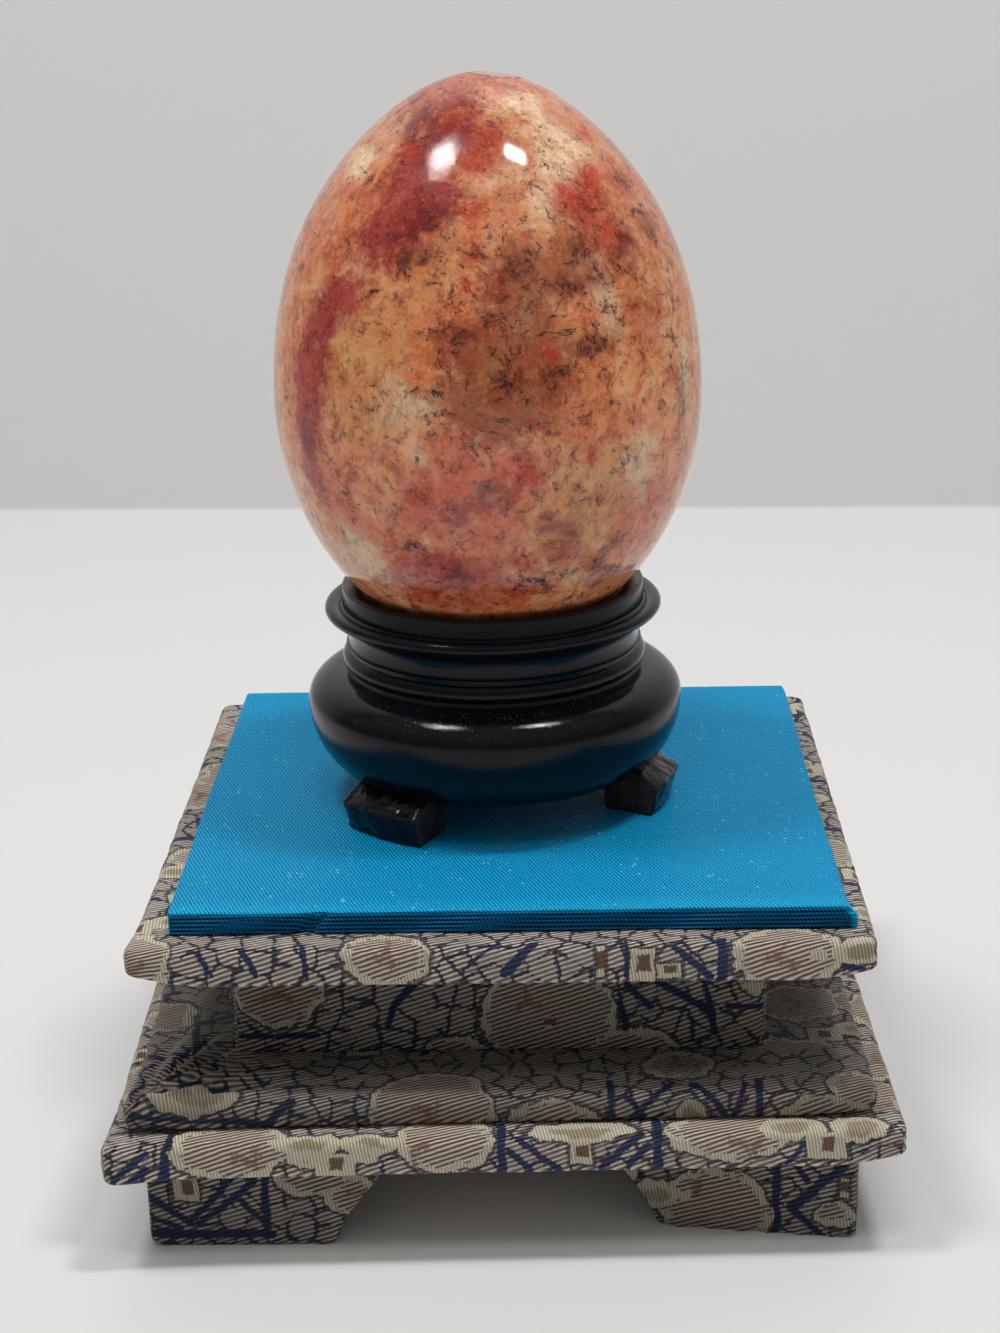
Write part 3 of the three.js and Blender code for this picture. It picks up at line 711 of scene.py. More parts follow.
def pull_satin(places):
    """Rounds the corners, ribs the sides and lets the cloth sag and swell a little."""
    places = round_corners(places, panel_x, SATIN_WIDTH / 2 * MM, SATIN_CORNER * MM)
    drop = (panel_high[2] - places[:, 2]) / MM
    outward = np.maximum(np.abs(places[:, 0] - panel_x), np.abs(places[:, 1])) / MM
    side = np.clip((outward - SATIN_WIDTH / 2 + 0.8) / 0.8, 0, 1) * np.clip(drop / 0.3, 0, 1)
    rib = 0.09 * np.cos(drop * 2 * math.pi / SATIN_RIB)
    slack = 0.22 * np.sin(places[:, 0] * 290 + drop * 0.8) * np.sin(places[:, 0] * 113 + places[:, 1] * 97)
    pinch = -0.7 * np.exp(-(((places[:, 0] / MM + 22 + drop * 0.8) / 1.1) ** 2)) * (places[:, 1] < 0)
    scale = 1 + side * (rib + slack + pinch) * MM / (SATIN_WIDTH / 2 * MM)
    places[:, 0] = panel_x + (places[:, 0] - panel_x) * scale
    places[:, 1] *= scale
    tip = np.hypot(places[:, 0] - panel_high[0], places[:, 1] - panel_low[1]) / MM
    places[:, 0] += 1.3 * MM * np.exp(-((tip / 2.2) ** 2)) * np.clip(drop / 1.5, 0, 1)
    wave = np.sin(places[:, 0] * 210 + 1) * np.sin(places[:, 1] * 170) * 0.05 * MM
    places[:, 2] += np.where(drop < 0.05, wave * (1 - np.clip(outward / 43, 0, 1) ** 6), 0)
    return places


mould(satin_panel, pull_satin)
unfold(satin_panel, panel_x, panel_front, panel_high[2])
activate(satin_panel)
bpy.ops.object.shade_smooth_by_angle(angle=math.radians(50))

# %% [markdown]
# Satin shows its weave as a fine twill, and it shines more along one direction than across.
# The twill is a slanted wave with slightly uneven threads, and dust and lint sit on it.
# On the sides, where the cloth turns down over the card, its colour is painted darker as shade, with painted shade in
# the lines between its folds.

# %% The satin
satin = new_material("blue satin")
tree = satin.node_tree
cloth = add_node(tree, "ShaderNodeUVMap", uv_map="cloth").outputs[0]
apart = add_node(tree, "ShaderNodeSeparateXYZ", {0: cloth})
slow = clouds(tree, cloth, 0.09, 4)
uneven = maths(tree, "MULTIPLY", clouds(tree, cloth, 1.3, 4, 0.6), 5)
slant = maths(tree, "MULTIPLY_ADD", apart.outputs[0], 12.5, maths(tree, "MULTIPLY", apart.outputs[1], 5))
twill = maths(tree, "SINE", maths(tree, "ADD", slant, uneven))
rows = maths(tree, "SINE", maths(tree, "MULTIPLY_ADD", apart.outputs[1], 10.5, uneven))
twill = maths(tree, "MULTIPLY_ADD", maths(tree, "MULTIPLY_ADD", rows, 0.35, twill), 0.4, 0.5)
threads = clouds(tree, vectors(tree, "MULTIPLY", cloth, (0.4, 4, 1)), 1.1, 5, 0.6)
lint_cells = add_node(tree, "ShaderNodeTexVoronoi", {"Vector": cloth, "Scale": 0.75})
lint = step(tree, lint_cells.outputs["Distance"], 0.09, 0.19, 1.0, 0.0)
lint = maths(tree, "MULTIPLY", lint, step(tree, clouds(tree, cloth, 0.12, 3), 0.46, 0.62, 0.0, 0.75))
blue = blend(tree, twill, (0.001, 0.06, 0.165, 1), (0.01, 0.5, 0.92, 1))
blue = blend(tree, step(tree, slow, 0.35, 0.65, 0.0, 0.35), blue, (0.006, 0.25, 0.5, 1))
blue = blend(tree, step(tree, threads, 0.5, 0.8, 0.0, 0.5), blue, (0.014, 0.42, 0.74, 1))
blue = blend(tree, lint, blue, (0.4, 0.66, 0.8, 1))
height = maths(tree, "ADD", twill, maths(tree, "MULTIPLY", threads, 0.8))
# Painted sheen: near the front edge the bright twill threads are painted lighter.
front_sheen = step(tree, apart.outputs[1], 5, 0.4, 0.0, 0.45)
blue = blend(tree, maths(tree, "MULTIPLY", front_sheen, twill), blue, (0.02, 0.6, 0.95, 1))
# Painted shade: the sides of the panel get a darker blue, with darker lines between the folds.
side_shade_mask = step(tree, apart.outputs[1], -0.25, 0.0, 1.0, 0.0)
folds = maths(tree, "SINE", maths(tree, "MULTIPLY", apart.outputs[1], 2 * math.pi / SATIN_RIB))
twill_and_fold_shade = maths(tree, "MULTIPLY_ADD", twill, 0.5, maths(tree, "MULTIPLY_ADD", folds, 0.4, 0.2))
shaded_side_blue = blend(tree, twill_and_fold_shade, (0.001, 0.012, 0.04, 1), (0.006, 0.2, 0.46, 1))
blue = blend(tree, side_shade_mask, blue, shaded_side_blue)
surface(tree, blue, 0.5, height, 0.45, 0.00014, Specular_IOR_Level=0.06)
hand_over(satin_panel, "satin_card", satin, "satin", "satin_panel")

# %% [markdown]
# The brocade has a taupe ground of diagonal ribs with fine dark lines like cracked ice, navy bars
# in zigzags, petals outlined in cream stitches, golden leaves, and cream blocks with maroon cores.
# Each figure is a small group that measures how far a point of the cloth is from its edge,
# in the millimetres of the unfolded cloth, with negative numbers inside.

# %% Node groups for the figures
oval_group, oval_in = new_group(
    "oval", {"Cloth": "Vector", "Middle": "Vector", "Reach": "Vector", "Scallop": "Float"}, {"Distance": "Float"}
)
offset = vectors(oval_group, "SUBTRACT", oval_in["Cloth"], oval_in["Middle"])
offset_apart = add_node(oval_group, "ShaderNodeSeparateXYZ", {0: offset})
angle = maths(oval_group, "ARCTAN2", offset_apart.outputs[1], offset_apart.outputs[0])
lobes = maths(oval_group, "ABSOLUTE", maths(oval_group, "SINE", maths(oval_group, "MULTIPLY", angle, 2.5)))
share = vectors(oval_group, "LENGTH", vectors(oval_group, "DIVIDE", offset, oval_in["Reach"]), output=1)
share = maths(oval_group, "SUBTRACT", share, maths(oval_group, "MULTIPLY", lobes, oval_in["Scallop"]))
shorter = add_node(oval_group, "ShaderNodeSeparateXYZ", {0: oval_in["Reach"]}).outputs[1]
distance = maths(oval_group, "MULTIPLY", maths(oval_group, "SUBTRACT", share, 1.0), shorter)
add_node(oval_group, "NodeGroupOutput", {"Distance": distance})

block_group, block_in = new_group(
    "block", {"Cloth": "Vector", "Middle": "Vector", "Reach": "Vector"}, {"Distance": "Float"}
)
sides = vectors(block_group, "ABSOLUTE", vectors(block_group, "SUBTRACT", block_in["Cloth"], block_in["Middle"]))
sides = add_node(block_group, "ShaderNodeSeparateXYZ", {0: vectors(block_group, "SUBTRACT", sides, block_in["Reach"])})
add_node(block_group, "NodeGroupOutput", {"Distance": maths(block_group, "MAXIMUM", sides.outputs[0], sides.outputs[1])})

bar_group, bar_in = new_group(
    "bar", {"Cloth": "Vector", "From": "Vector", "To": "Vector", "Half": "Float"}, {"Distance": "Float"}
)
along = vectors(bar_group, "SUBTRACT", bar_in["To"], bar_in["From"])
offset = vectors(bar_group, "SUBTRACT", bar_in["Cloth"], bar_in["From"])
share = maths(bar_group, "DIVIDE", vectors(bar_group, "DOT_PRODUCT", offset, along, output=1),
              vectors(bar_group, "DOT_PRODUCT", along, along, output=1))
share = add_node(bar_group, "ShaderNodeClamp", {0: share}).outputs[0]
nearest = add_node(bar_group, "ShaderNodeVectorMath", {0: along, 3: share}, operation="SCALE").outputs[0]
distance = vectors(bar_group, "LENGTH", vectors(bar_group, "SUBTRACT", offset, nearest), output=1)
add_node(bar_group, "NodeGroupOutput", {"Distance": maths(bar_group, "SUBTRACT", distance, bar_in["Half"])})

spray_group, spray_in = new_group("spray", {"Cloth": "Vector", "Middle": "Vector"}, {"Distance": "Float"})
offset = vectors(spray_group, "SUBTRACT", spray_in["Cloth"], spray_in["Middle"])
offset_apart = add_node(spray_group, "ShaderNodeSeparateXYZ", {0: offset})
angle = maths(spray_group, "ARCTAN2", offset_apart.outputs[1], offset_apart.outputs[0])
middle_u = add_node(spray_group, "ShaderNodeSeparateXYZ", {0: spray_in["Middle"]}).outputs[0]
turned = maths(spray_group, "MULTIPLY_ADD", middle_u, 1.7, maths(spray_group, "MULTIPLY", angle, 1.5))
rays = maths(spray_group, "ABSOLUTE", maths(spray_group, "SINE", turned))
reach = vectors(spray_group, "LENGTH", offset, output=1)
ray_distance = maths(spray_group, "SUBTRACT", maths(spray_group, "MULTIPLY", rays, reach), 0.55)
distance = maths(spray_group, "MAXIMUM", ray_distance, maths(spray_group, "SUBTRACT", reach, 2.4))
add_node(spray_group, "NodeGroupOutput", {"Distance": distance})

# %% [markdown]
# The weave itself is one group for all the brocade pieces. It takes the distances to the figures
# and puts out the colour and the height of the threads. The cream stitches lie upright, so
# their rows end raggedly, and every figure is edged by a dark thread.

# %% The brocade's weave
weave, weave_in = new_group(
    "brocade weave",
    {"Cloth": "Vector", "Petal": "Float", "Leaf": "Float", "Block": "Float", "Core": "Float", "Bar": "Float",
     "Spray": "Float"},
    {"Color": "Color", "Height": "Float"},
)
RIB_SLANT = math.radians(19)
RIB_PITCH = 0.64
STITCH_PITCH = 0.42
CRACK_CELL = 3.1
cloth = weave_in["Cloth"]
apart = add_node(weave, "ShaderNodeSeparateXYZ", {0: cloth})
wobble = clouds(weave, cloth, 0.6, 3)
rib_place = maths(weave, "MULTIPLY_ADD", apart.outputs[0], -math.sin(RIB_SLANT),
                  maths(weave, "MULTIPLY", apart.outputs[1], math.cos(RIB_SLANT)))
rib = maths(weave, "SINE", maths(weave, "MULTIPLY_ADD", rib_place, 2 * math.pi / RIB_PITCH,
                                 maths(weave, "MULTIPLY", wobble, 2.4)))
rib = maths(weave, "MULTIPLY_ADD", rib, 0.5, 0.5)
thread_place = add_node(weave, "ShaderNodeMapping", {"Vector": cloth, "Rotation": (0, 0, -RIB_SLANT), "Scale": (0.8, 2.8, 1)})
threads = clouds(weave, thread_place.outputs[0], 1.0, 4, 0.7)
upright = clouds(weave, vectors(weave, "MULTIPLY", cloth, (2.4, 0.35, 1)), 1.0, 2, 0.5)
stitch = maths(weave, "SINE", maths(weave, "MULTIPLY_ADD", apart.outputs[0], 2 * math.pi / STITCH_PITCH,
                                    maths(weave, "MULTIPLY_ADD", apart.outputs[1], 2.2, maths(weave, "MULTIPLY", wobble, 3))))
stitch = maths(weave, "MULTIPLY_ADD", stitch, 0.4, 0.6)
ragged = maths(weave, "MULTIPLY_ADD", upright, 1.6, -0.8)


def within(value, low, high):
    """One inside a figure, nothing outside, with a soft edge from low to high."""
    return step(weave, value, low, high, 1.0, 0.0)


light_rib, dark_rib = (0.86, 0.75, 0.64, 1), (0.055, 0.04, 0.037, 1)
ground = blend(weave, rib, dark_rib, light_rib)
ground = blend(weave, step(weave, threads, 0.5, 0.7, 0.0, 0.6), ground, (0.2, 0.165, 0.145, 1))
ground = blend(weave, step(weave, clouds(weave, cloth, 0.13, 3), 0.42, 0.62, 0.0, 0.3), ground, (0.25, 0.235, 0.24, 1))
ground = blend(weave, within(weave_in["Petal"], -1.6, -0.8), ground, blend(weave, rib, (0.07, 0.048, 0.04, 1), (0.84, 0.68, 0.56, 1)))
figures = maths(weave, "MINIMUM", weave_in["Petal"], maths(weave, "MINIMUM", weave_in["Leaf"], weave_in["Block"]))
outside = step(weave, figures, 0.2, 0.6)
bend = add_node(weave, "ShaderNodeTexNoise", {"Vector": cloth, "Scale": 0.8, "Detail": 4}).outputs["Color"]
bend = vectors(weave, "MULTIPLY", vectors(weave, "SUBTRACT", bend, (0.5, 0.5, 0.5)), (1.3, 1.3, 0))
bent = vectors(weave, "ADD", cloth, bend)
crack_cells = add_node(weave, "ShaderNodeTexVoronoi", {"Vector": bent, "Scale": 1 / CRACK_CELL, "Randomness": 1.0},
                       feature="DISTANCE_TO_EDGE", voronoi_dimensions="2D")
crack = maths(weave, "MULTIPLY_ADD", crack_cells.outputs["Distance"], CRACK_CELL, maths(weave, "MULTIPLY", rib, 0.14))
crack = maths(weave, "MULTIPLY_ADD", threads, -0.62, crack)
crack = maths(weave, "ADD", crack, step(weave, clouds(weave, cloth, 0.28, 3), 0.5, 0.62, 0.0, 0.3))
crack = maths(weave, "MULTIPLY", within(crack, -0.07, 0.16), outside)
colour = blend(weave, maths(weave, "MULTIPLY", crack, 0.92), ground, (0.008, 0.012, 0.038, 1))
bar_edge = maths(weave, "MULTIPLY_ADD", ragged, 0.4, weave_in["Bar"])
bar = maths(weave, "MULTIPLY", within(bar_edge, -0.15, 0.15), step(weave, figures, -0.2, 0.2))
navy = blend(weave, rib, (0.005, 0.009, 0.035, 1), (0.03, 0.052, 0.16, 1))
colour = blend(weave, bar, colour, navy)
spray = maths(weave, "MULTIPLY", within(maths(weave, "MULTIPLY_ADD", ragged, 1.5, weave_in["Spray"]), -0.3, 0.6),
              step(weave, threads, 0.38, 0.54, 0.1, 0.75))
colour = blend(weave, spray, colour, (0.2, 0.075, 0.055, 1))
dark_edge = maths(weave, "MULTIPLY", step(weave, figures, -0.05, 0.1), within(figures, 0.3, 0.65))
colour = blend(weave, maths(weave, "MULTIPLY", dark_edge, 0.8), colour, (0.02, 0.022, 0.035, 1))
cream = blend(weave, stitch, (0.42, 0.33, 0.2, 1), (1.0, 0.94, 0.76, 1))
broken = step(weave, clouds(weave, cloth, 0.4, 2), 0.5, 0.64, 0.0, 0.9)
inner_edge = maths(weave, "SUBTRACT", maths(weave, "MULTIPLY_ADD", ragged, 0.8, weave_in["Petal"]), broken)
outline = maths(weave, "MULTIPLY", step(weave, inner_edge, -1.15, -0.7), within(weave_in["Petal"], -0.05, 0.12))
gold = blend(weave, stitch, (0.2, 0.15, 0.09, 1), (0.66, 0.56, 0.37, 1))
gold = blend(weave, step(weave, maths(weave, "MULTIPLY_ADD", ragged, 0.7, weave_in["Leaf"]), -1.2, -0.7), gold, cream)
leaf = within(weave_in["Leaf"], -0.05, 0.12)
block = within(maths(weave, "MULTIPLY_ADD", ragged, 0.3, weave_in["Block"]), -0.05, 0.12)
colour = blend(weave, maths(weave, "MAXIMUM", outline, block), colour, cream)
colour = blend(weave, leaf, colour, gold)
core = within(maths(weave, "MULTIPLY_ADD", ragged, 0.4, weave_in["Core"]), -0.1, 0.15)
colour = blend(weave, maths(weave, "MULTIPLY", core, 0.9), colour, blend(weave, rib, (0.1, 0.035, 0.025, 1), (0.2, 0.08, 0.055, 1)))
raised = maths(weave, "MAXIMUM", maths(weave, "MAXIMUM", outline, block), leaf)
height = maths(weave, "MULTIPLY_ADD", rib, 0.8, maths(weave, "MULTIPLY", threads, 0.5))
height = maths(weave, "MULTIPLY", height, maths(weave, "SUBTRACT", 1.0, raised))
height = maths(weave, "MULTIPLY_ADD", raised, maths(weave, "MULTIPLY_ADD", stitch, 0.9, 0.6), height)
height = maths(weave, "MULTIPLY_ADD", bar, 0.3, height)
add_node(weave, "NodeGroupOutput", {"Color": colour, "Height": height})

# %% [markdown]
# Every piece is cut from another part of the cloth, so each has its own figures on its front:
# petals and leaves by middle and reach, blocks by middle and half sizes, bars by their two
# ends and half width, and small maroon sprays by their middle. Further back, where no single
# figure is known, petals, blocks and bars come from Voronoi grids. The pieces in the recesses
# are painted darker as shade: each piece has a shade and an inner shade. Because the figure
# loops reuse the name v, the step reads the last spray's v and not the cloth's, so one of the
# two darkens the whole piece as a constant.


# %% A brocade material for each piece
def brocade(name, facts):
    """The brocade with the figures of one piece and a shift of the far pattern."""
    material = new_material(name)
    tree = material.node_tree
    cloth = add_node(tree, "ShaderNodeUVMap", uv_map="cloth").outputs[0]
    wave = add_node(tree, "ShaderNodeTexNoise", {"Vector": cloth, "Scale": 0.3, "Detail": 4, "Roughness": 0.62})
    wave = vectors(tree, "MULTIPLY", vectors(tree, "SUBTRACT", wave.outputs["Color"], (0.5, 0.5, 0.5)), (3.8, 3.8, 0))
    waved = vectors(tree, "ADD", cloth, wave)
    bent = vectors(tree, "ADD", cloth, vectors(tree, "MULTIPLY", wave, (0.3, 0.3, 0)))
    v = add_node(tree, "ShaderNodeSeparateXYZ", {0: cloth}).outputs[1]
    near_front = step(tree, v, facts["far"], facts["far"] + 2.5, 40, 0)
    shift = facts["shift"]

    def far_cells(scale, offset, **settings):
        spot = vectors(tree, "ADD", cloth, (shift + offset, 0.7 * shift + 2 * offset, 0))
        inputs = {"Vector": spot, "Scale": 1 / scale, "Randomness": 0.6}
        return spot, add_node(tree, "ShaderNodeTexVoronoi", inputs, voronoi_dimensions="2D", **settings)

    spot, cells = far_cells(16, 0)
    middle = vectors(tree, "MULTIPLY", cells.outputs["Position"], (1, 1, 0))
    wavy_spot = vectors(tree, "ADD", spot, wave)
    petal = use_group(tree, oval_group, Cloth=wavy_spot, Middle=middle, Reach=(5.6, 4.6, 1), Scallop=0.25)[0]
    spray = use_group(tree, spray_group, Cloth=wavy_spot, Middle=middle)[0]
    spot, cells = far_cells(19, 8)
    middle = vectors(tree, "MULTIPLY", cells.outputs["Position"], (1, 1, 0))
    block = use_group(tree, block_group, Cloth=spot, Middle=middle, Reach=(2.2, 1.8, 0))[0]
    core = use_group(tree, block_group, Cloth=spot, Middle=middle, Reach=(0.8, 0.9, 0))[0]
    leaf_spot = vectors(tree, "ADD", middle, (4.6, 1.5, 0))
    leaf = use_group(tree, oval_group, Cloth=spot, Middle=leaf_spot, Reach=(3.4, 2, 1), Scallop=0.0)[0]
    cells = far_cells(10, 31, feature="DISTANCE_TO_EDGE")[1]
    bar = maths(tree, "MULTIPLY_ADD", cells.outputs["Distance"], 10, -0.55)
    bar_gaps = step(tree, clouds(tree, vectors(tree, "ADD", cloth, (shift, 50, 0)), 0.09, 2), 0.53, 0.47, 0, 9)
    bar = maths(tree, "ADD", bar, bar_gaps)
    values = {"Petal": petal, "Leaf": leaf, "Block": block, "Core": core, "Bar": bar, "Spray": spray}
    values = {title: maths(tree, "ADD", value, near_front) for title, value in values.items()}

    def add_figure(title, group, **inputs):
        distance = use_group(tree, group, **inputs)[0]
        values[title] = maths(tree, "MINIMUM", values[title], distance)

    for u, v, across, up in facts["petals"]:
        add_figure("Petal", oval_group, Cloth=waved, Middle=(u, v, 0), Reach=(across, up, 1))
    for u, v, across, up in facts["leaves"]:
        add_figure("Leaf", oval_group, Cloth=waved, Middle=(u, v, 0), Reach=(across, up, 1))
    for u, v, across, up in facts["blocks"]:
        add_figure("Block", block_group, Cloth=bent, Middle=(u, v, 0), Reach=(across, up, 0))
        add_figure("Core", block_group, Cloth=bent, Middle=(u + 0.2, v + 0.2, 0), Reach=(0.8, 0.55 * up, 0))
    for from_u, from_v, to_u, to_v, half in facts["bars"]:
        add_figure("Bar", bar_group, Cloth=bent, From=(from_u, from_v, 0), To=(to_u, to_v, 0), Half=half)
    for u, v in facts["sprays"]:
        add_figure("Spray", spray_group, Cloth=waved, Middle=(u, v, 0))
    colour, height = use_group(tree, weave, Cloth=cloth, **values)
    # Painted shade: the cloth's colour is darkened towards black by the piece's shade; v here is the last spray's v, so
    # it is one constant.
    painted_shade = step(tree, v, 0.5, 3.0, 1 - facts["shade"], 1 - facts["inner shade"])
    colour = blend(tree, painted_shade, colour, (0.003, 0.003, 0.004, 1))
    surface(tree, colour, 0.55, height, 1.0, 0.00035, Specular_IOR_Level=0.3)
    return material


# %% [markdown]
# The cloth over the boards is never quite smooth: it swells between its glued spots, it is
# bulky at the corners where it is folded in, and at one corner it is gathered in pleats.
# The swelling is a cloud texture in a Displace modifier. The corners are moulded by formula.


# %% The three boards
def turn_about(places, middle_x, degrees):
    """Turns places about the upright axis through (middle_x, 0)."""
    angle = math.radians(degrees)
    x, y = places[:, 0] - middle_x, places[:, 1].copy()
    places[:, 0] = middle_x + x * math.cos(angle) - y * math.sin(angle)
    places[:, 1] = x * math.sin(angle) + y * math.cos(angle)
    return places


def bulk(places, corner, reach, amount):
    """Pushes a folded corner out, away from the board's middle, by an amount that fades with reach."""
    away = np.hypot(places[:, 0] - corner[0], places[:, 1] - corner[1])
    push = amount * np.exp(-((away / reach) ** 2))
    outward = Vector(corner).normalized()
    places[:, 0] += push * outward.x
    places[:, 1] += push * outward.y
    return places


def fold_up(places, middle_x, half, bottom, thickness, reach, rises):
    """Folds the lower edge up towards each corner, as cloth tucked in there draws the card's edge."""
    over_x = (half - np.abs(places[:, 0] - middle_x)) / reach
    over_y = (half - np.abs(places[:, 1])) / reach
    near = np.exp(-(np.maximum(over_x, 0) ** 2 + np.maximum(over_y, 0) ** 2))
    low = np.clip(1 - (places[:, 2] - bottom) / thickness, 0, 1)
    rise = np.where(places[:, 0] < middle_x, rises[0], rises[1]) * MM
    places[:, 2] += rise * near * low
    return places


def pleat(places, corner, top):
    """Gathers the top cloth into pleats that fan out from a corner, with sharp creases between."""
    x, y = (places[:, 0] - corner[0]) / MM, (places[:, 1] - corner[1]) / MM
    away = np.hypot(x, y)
    angle = np.degrees(np.arctan2(y, x))
    fade = np.exp(-((away / 19) ** 4)) * np.clip(away / 3, 0, 1)
    on_top = np.clip((places[:, 2] - top + 1.5 * MM) / (1.5 * MM), 0, 1)
    lift = np.zeros(len(places))
    for crease, depth in PLEATS:
        aside = (angle - crease) * math.pi / 180 * away
        lift += depth * (0.8 * np.exp(-(((aside + 1.3) / 0.9) ** 2)) - np.exp(-((aside / 0.5) ** 2)))
    places[:, 2] += lift * fade * on_top * MM
    return places


PLEATS = ((13, 0.7), (27, 1.5), (40, 0.9), (52, 1.2), (64, 0.9), (77, 0.7))
BOARD_EDGE, BOARD_CORNER = 1.2, 1.7
BOARDS = {
    "bottom_board": {
        "width": 101.8, "turn": 1.3, "bulk": 1.1, "shift": 4, "far": 3, "shade": 1, "inner shade": 0.9, "cells": 92, "sink": 0, "folds": (-0.4, 1.2),
        "petals": [(-35, -0.4, 7.6, 5), (-7.8, 0.2, 6.2, 5), (28.4, 0.5, 8.3, 4.6)],
        "leaves": [(-25.5, -0.2, 4.6, 1.9), (-26, -2.5, 1.9, 1.1), (-17.4, -0.2, 3.8, 1.8), (-18, -2.2, 1.8, 1),
                   (9.5, 1.1, 6.8, 2.1), (36.2, 1, 4.3, 2.3), (44.8, 0.7, 3.5, 2.3)],
        "blocks": [(-21.9, -3.3, 2.6, 1.5), (9.4, -2.4, 1.3, 1.5), (40.5, -2.1, 2.5, 1.9)],
        "bars": [(-42.2, 3, -43.8, -5.5, 0.6), (-45.4, -1, -50, -5, 0.5), (-45.5, -3.2, -48, -5.5, 0.5), (-0.7, 3, -0.7, -5.5, 0.55),
                 (1.5, -0.4, 6.4, -4.6, 0.45), (0.2, -1.8, 2.8, -4.6, 0.45), (17, 0.2, 12, -4.6, 0.5), (18, -1.6, 15.6, -4.2, 0.5),
                 (19.2, 3, 19.2, -5.5, 0.6), (43.4, -1.6, 46.4, -1.6, 0.4), (46.4, -1.6, 48.4, 0.8, 0.4), (37.6, -2, 35.6, -4.6, 0.35)],
        "sprays": [(-32.4, -2.6), (-11.8, -2.2), (30.8, -2), (50.6, -2)],
    },
    "middle_board": {
        "width": 95.6, "turn": 1.3, "bulk": 1.3, "shift": 17, "far": 9, "shade": 0.8, "inner shade": 0.5, "cells": 180, "sink": 0, "folds": (0.6, 0.8),
        "petals": [(-9.6, -3, 8.2, 9.6), (6, -4.6, 6.2, 4), (41, -4.6, 6, 3.9), (44.8, 1, 3.4, 3.6), (22.5, 7.5, 4.6, 3.4)],
        "leaves": [(-39.6, 0.9, 5.2, 2.4), (23.6, -3.7, 1.7, 2.2)],
        "blocks": [],
        "bars": [(-27.4, 0.4, -30.5, -3.4, 0.6), (13.4, 3, 13.4, -4.1, 0.5), (32.3, 3, 32.3, -4.1, 0.5), (24, 2.4, 28.4, -4, 0.5),
                 (21.5, 2.6, 16, -3.6, 0.45), (15.2, -0.4, 17.6, -3.2, 0.4), (30.6, 2, 29.2, -3.6, 0.4), (-47, -1.6, -30, -3.2, 0.4),
                 (-45, 1.4, -31, 8, 0.28), (-46, 3, -38, 11, 0.22), (-46.6, 1, -36, 3.4, 0.2)],
        "sprays": [(-10, -2), (22.6, 8)],
    },
    "top_board": {
        "width": 94, "turn": 0, "bulk": 1.0, "shift": 29, "far": 3, "shade": 1, "inner shade": 1, "cells": 92, "sink": 0.6, "folds": (1.8, 1.2),
        "petals": [(-46, -1, 5.6, 6), (-13.6, -0.8, 5.7, 4.4), (36.6, -1.5, 6.9, 5.6)],
        "leaves": [(46.2, -1.2, 3.6, 2.4), (40.2, -1.8, 1.3, 0.9)],
        "blocks": [(18.5, -2.8, 1.5, 2.2), (13.3, -2.2, 0.45, 2.1), (21.8, -3.7, 1.5, 0.9)],
        "bars": [(5, 0.4, 1.3, -3.8, 0.65), (-31.6, 0, -30, -3.8, 0.4), (-24, 0.6, -23.7, -4.2, 0.35), (-37, -0.4, -35.4, -3.6, 0.3),
                 (0.4, 0.6, -4, -3.2, 0.25), (16.5, 1, 16.5, -4.6, 0.3), (22.4, -0.4, 27, -4.6, 0.5), (28.5, 1, 28.7, -5.6, 0.65),
                 (41.4, -0.8, 43, -3.4, 0.45), (43, -3.4, 46, -4.6, 0.45), (26, 2.6, 28.2, 0, 0.3)],
        "sprays": [(-14, -1), (35.8, -1.8), (-45, -3.4)],
    },
}
for node, facts in BOARDS.items():
    low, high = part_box(node)
    middle_x = (low[0] + high[0]) / 2
    half = facts["width"] / 2 * MM
    thickness = (high[2] - low[2]) / MM
    board = card(middle_x, low[2], facts["width"], thickness, BOARD_EDGE, facts["cells"])
    mould(board, lambda places: round_corners(places, middle_x, half, BOARD_CORNER * MM))
    unfold(board, middle_x, -half, high[2])
    corner = (middle_x - half, -half)
    mould(board, lambda places: bulk(places, corner, 7 * MM, facts["bulk"] * MM))
    mould(board, lambda places: fold_up(places, middle_x, half, low[2], thickness * MM, 5 * MM, facts["folds"]))
    if node == "middle_board":
        mould(board, lambda places: pleat(places, corner, high[2]))
    board.name = node + "_cloth"
    swell(board, 5, 0.35)
    swell(board, 1.6, 0.1)
    mould(board, lambda places: turn_about(places, middle_x, facts["turn"]) - (0, 0, facts["sink"] * MM))
    activate(board)
    bpy.ops.object.shade_smooth()
    cloth_material = brocade(node + " brocade", facts)
    hand_over(board, node + "_cloth", cloth_material, "brocade", node)

# %% [markdown]
# The neck between the boards is a box of card wrapped with a strip of the same cloth, so its
# pattern runs round the four sides. It is the same kind of piece with crisp top and bottom edges
# and rounded upright ones.


# %% The neck
def unfold_round(piece, middle_x, half, top):
    """A UV map in millimetres for a wrapped strip: u runs round from the front, v hangs from the top."""
    layer = piece.data.uv_layers.new(name="cloth")
    vertices = piece.data.vertices
    for face in piece.data.polygons:
        sideways = abs(face.normal.x) > abs(face.normal.y)
        side = math.copysign(1, face.center.x - middle_x)
        for index in face.loop_indices:
            place = vertices[piece.data.loops[index].vertex_index].co
            u = place.x
            if sideways:
                u = middle_x + side * (half + place.y + half)
            layer.data[index].uv = (u / MM, (place.z - top) / MM)


